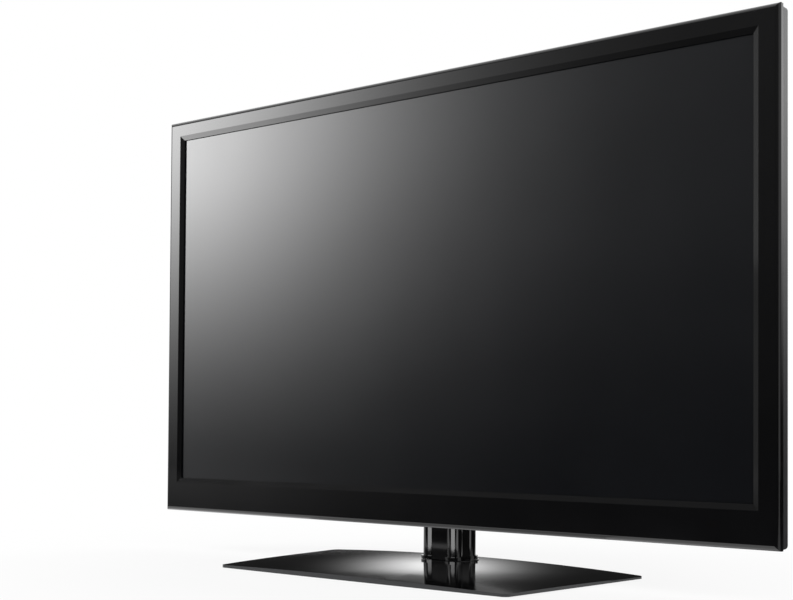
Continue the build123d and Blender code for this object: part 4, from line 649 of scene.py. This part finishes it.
# Share of plain white that the floor shows near its middle, and the distances between which it
# grows to the whole
floor_white_near = 0.84
floor_fade_start = 0.3
floor_fade_end = 0.9

lamp_target = Vector((0, 0, 0.3))
neck_lamp_height = 0.09
neck_lamp_distance = 0.3

# Cards: the front is just behind the camera, and the gap keeps one card clear of another
card_front = -1.39
card_back = 2.2
card_side = 4.2
card_top = 3.0
card_gap = 0.01

# Height by which a lying card clears the floor, or a card under it
lying_gap = 0.001

# The two upright cards for the bevel of the bezel, one above the other
bevel_card_side = -2.9
bevel_card_back = -0.8
bevel_card_split = 0.8


def seen_directly(tree):
    """1 for camera, glossy and transmission rays, 0 for the rest."""
    rays = tree.nodes.new("ShaderNodeLightPath").outputs
    seen = calculate(tree, "ADD", rays["Is Camera Ray"], rays["Is Glossy Ray"])
    return calculate(tree, "ADD", seen, rays["Is Transmission Ray"], clamp=True)


def make_world():
    """White to the eye and in reflections, and an even softer light on the object."""
    world = bpy.data.worlds.new("studio")
    scene.world = world
    world.use_nodes = True
    tree = world.node_tree
    background = tree.nodes["Background"]
    background.inputs["Color"].default_value = (1, 1, 1, 1)
    strength = spread(tree, seen_directly(tree), ambient_strength, 1.0, 0.0, 1.0)
    tree.links.new(strength, background.inputs["Strength"])


def rectangle(low, high):
    """The corners of an upright or lying rectangle, from its lowest and its highest corner."""
    first, second = [axis for axis in range(3) if low[axis] != high[axis]]
    corners = []
    for end_of_first, end_of_second in ((low, low), (high, low), (high, high), (low, high)):
        corner = list(low)
        corner[first] = end_of_first[first]
        corner[second] = end_of_second[second]
        corners.append(corner)
    return corners


def stage_panel(name, corners):
    """Flat four-cornered stage object."""
    mesh = bpy.data.meshes.new(name)
    mesh.from_pydata(corners, [], [(0, 1, 2, 3)])
    panel = bpy.data.objects.new(name, mesh)
    scene.collection.objects.link(panel)
    return panel


def make_floor():
    """Pale floor that keeps the shadow of the object and turns white away from it."""
    half = floor_size / 2
    floor = stage_panel("floor", rectangle((-half, -half, 0), (half, half, 0)))
    material, tree, surface = blank_material("floor_pale")
    shader = tree.nodes.new("ShaderNodeBsdfPrincipled")
    feed(tree, floor_colour, shader.inputs["Base Color"])
    shader.inputs["Roughness"].default_value = floor_rough
    shader.inputs["Specular IOR Level"].default_value = floor_sheen
    glow = tree.nodes.new("ShaderNodeEmission")
    coords = tree.nodes.new("ShaderNodeTexCoord")
    length = tree.nodes.new("ShaderNodeVectorMath")
    length.operation = "LENGTH"
    tree.links.new(coords.outputs["Object"], length.inputs[0])
    distance = length.outputs["Value"]
    away = spread(tree, distance, floor_white_near, 1.0, floor_fade_start, floor_fade_end)
    mixer = tree.nodes.new("ShaderNodeMixShader")
    tree.links.new(calculate(tree, "MULTIPLY", away, seen_directly(tree)), mixer.inputs[0])
    tree.links.new(shader.outputs["BSDF"], mixer.inputs[1])
    tree.links.new(glow.outputs[0], mixer.inputs[2])
    tree.links.new(mixer.outputs[0], surface)
    floor.data.materials.append(material)


def area_lamp(name, place, facing, power):
    """Lamp with a flat face that looks along the facing direction."""
    data = bpy.data.lights.new(name, "AREA")
    data.energy = power
    lamp = bpy.data.objects.new(name, data)
    lamp.location = place
    lamp.rotation_euler = facing.to_track_quat("-Z", "Y").to_euler()
    scene.collection.objects.link(lamp)
    return lamp


def soft_lamp(name, place, size, power):
    """Square soft box, left out of reflections so that the cards there stay plain."""
    lamp = area_lamp(name, place, lamp_target - Vector(place), power)
    lamp.data.size = size
    lamp.visible_glossy = False


def light_only(source, finish):
    """Lets a lamp or a card show on the nodes of one finish alone."""
    lit = bpy.data.collections.new(source.name)
    for node in node_finishes[finish]:
        lit.objects.link(nodes[node])
    source.light_linking.receiver_collection = lit


def strip_lamp(name, place, facing, width, height, glow, finish):
    """Panel of light that only the nodes of one finish show. The glow is the brightness of its face."""
    lamp = area_lamp(name, place, Vector(facing), glow * math.pi * width * height)
    lamp.data.shape = "RECTANGLE"
    lamp.data.size = width
    lamp.data.size_y = height
    lamp.visible_camera = False
    light_only(lamp, finish)


def neck_lamp(name, azimuth, width, glow):
    """Low strip lamp for an upright highlight on each pillar, at an azimuth in degrees from +X."""
    low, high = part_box("neck_column")
    middle = (Vector(low) + Vector(high)) / 2
    middle.z = neck_lamp_height / 2
    away = Vector((math.cos(math.radians(azimuth)), math.sin(math.radians(azimuth)), 0))
    place = middle + away * neck_lamp_distance
    strip_lamp(name, place, -away, width, neck_lamp_height, glow, finish="stand")


def reflected_card(name, corners):
    """A card that only reflections see, with its node tree and the socket of its brightness."""
    card = stage_panel(name, corners)
    card.visible_camera = False
    card.visible_diffuse = False
    card.visible_shadow = False
    card.visible_transmission = False
    card.visible_volume_scatter = False
    material, tree, surface = blank_material(name)
    glow = tree.nodes.new("ShaderNodeEmission")
    tree.links.new(glow.outputs[0], surface)
    card.data.materials.append(material)
    return card, tree, glow.inputs["Strength"]


def plain_card(name, corners, brightness):
    """Reflected card of one brightness."""
    socket = reflected_card(name, corners)[2]
    socket.default_value = brightness


def fall_off(tree, offset, ahead, behind):
    """How far out an offset is, as a share of its reach ahead or its reach behind."""
    share_ahead = calculate(tree, "DIVIDE", offset, ahead)
    share_behind = calculate(tree, "DIVIDE", offset, -behind)
    return calculate(tree, "MAXIMUM", share_ahead, share_behind)


def glow_card(name, low, high, spot, reach, peak, base, lean=0.0, growth=(0.0, 1.0, 0.0), finish=None):
    """Reflected card with a soft spot of light, over a glow that grows up or back along the card.

    The spot is at (x, z) on a card that stands and at (x, y) on one that lies. Its reach is given to the
    left, right, up and down, its peak is the brightness that it adds, and it leans by its rise per length
    to the right. The growth starts from the base at its first value, ends at its second, and adds its
    third. A card with a finish shows on the nodes of that finish alone.
    """
    card, tree, socket = reflected_card(name, rectangle(low, high))
    if finish:
        light_only(card, finish)
    axes = object_axes(tree)
    along = axes["Y" if low[2] == high[2] else "Z"]
    left, right, up, down = reach
    shift = calculate(tree, "SUBTRACT", axes["X"], spot[0])
    rise = calculate(tree, "SUBTRACT", along, spot[1])
    rise = calculate(tree, "SUBTRACT", rise, calculate(tree, "MULTIPLY", shift, lean))
    across_share = fall_off(tree, shift, right, left)
    rise_share = fall_off(tree, rise, up, down)
    across_square = calculate(tree, "MULTIPLY", across_share, across_share)
    rise_square = calculate(tree, "MULTIPLY", rise_share, rise_share)
    squares = calculate(tree, "ADD", across_square, rise_square)
    fall = calculate(tree, "EXPONENT", calculate(tree, "MULTIPLY", squares, -1.0))
    start, end, gain = growth
    grown = spread(tree, along, base, base + gain, start, end)
    tree.links.new(calculate(tree, "ADD", calculate(tree, "MULTIPLY", fall, peak), grown), socket)


make_world()
make_floor()

soft_lamp("key_lamp", (-2.2, -2.0, 2.4), size=1.8, power=62)
soft_lamp("fill_lamp", (2.6, -1.2, 1.8), size=1.8, power=24)
soft_lamp("back_lamp", (0.6, 2.6, 2.2), size=2.0, power=40)
neck_lamp("neck_lamp_front", azimuth=-80, width=0.30, glow=5.6)
neck_lamp("neck_lamp_side", azimuth=-19, width=0.13, glow=1.2)
strip_lamp(
    "edge_lamp",
    (-0.12, -0.085, 0.03),
    facing=(0, 0, 1),
    width=1.3,
    height=0.23,
    glow=1.3,
    finish="front_bezel",
)

glow_card(
    "front_card",
    (-card_side, card_front, 0.0),
    (card_side, card_front, card_top),
    spot=(-2.15, 1.22),
    reach=(0.80, 0.80, 0.08, 0.60),
    peak=15.8,
    base=0.03,
    growth=(0.1, 1.1, 0.23),
)
glow_card(
    "kick_card",
    (-2.0, -0.45, 0.0),
    (2.0, -0.45, 0.1),
    spot=(-1.0, 0.1),
    reach=(0.5, 0.5, 0.1, 0.1),
    peak=0.5,
    base=0.03,
)
glow_card(
    "back_card",
    (-6.0, card_back, 0.0),
    (0.4, card_back, card_top),
    spot=(-1.60, 0.47),
    reach=(0.30, 0.25, 0.09, 0.27),
    peak=2.0,
    base=0.02,
    lean=-0.2,
    growth=(0.8, 2.0, 0.5),
)
glow_card(
    "side_card",
    (0.4, card_back, 0.0),
    (6.0, card_back, card_top),
    spot=(1.5, 1.25),
    reach=(0.7, 0.9, 0.6, 0.55),
    peak=1.35,
    base=0.0,
    growth=(0.25, 1.15, 0.68),
)
glow_card(
    "bevel_card_floor",
    (-3.0, card_front + card_gap / 2, 2 * lying_gap),
    (0.5, -0.65, 2 * lying_gap),
    spot=(-1.85, -1.05),
    reach=(0.80, 0.72, 0.18, 0.18),
    peak=9.8,
    base=0.1,
    finish="front_bezel",
)

high_front = card_front + card_gap

# Plain cards: name, lowest and highest corner, brightness
plain_cards = (
    ("left_card", (-card_side, card_front, 0.0), (-card_side, card_back, card_top), 1.2),
    (
        "bevel_card_low",
        (bevel_card_side, high_front, 0.0),
        (bevel_card_side, bevel_card_back, bevel_card_split),
        0.38,
    ),
    (
        "bevel_card_high",
        (bevel_card_side, high_front, bevel_card_split),
        (bevel_card_side, bevel_card_back, 2.4),
        0.8,
    ),
    ("high_card", (-card_side, high_front, 1.8), (card_side, high_front, 3.2), 1.5),
    ("low_card", (0.62, 0.3, 2 * lying_gap), (4.0, card_back, 2 * lying_gap), 0.01),
    ("near_card", (-2.0, card_front, lying_gap), (1.0, -0.24, lying_gap), 0.03),
)
for name, low, high, brightness in plain_cards:
    plain_card(name, rectangle(low, high), brightness)
neck_shade_outline = ((0.12, 0.10), (0.05, 0.62), (0.90, 0.90), (0.90, -0.10))
plain_card("neck_shade", [(x, y, 3 * lying_gap) for x, y in neck_shade_outline], brightness=0.03)
plain_card("top_card", rectangle((-1.6, -0.5, 1.6), (1.6, 1.5, 1.6)), brightness=2.0)
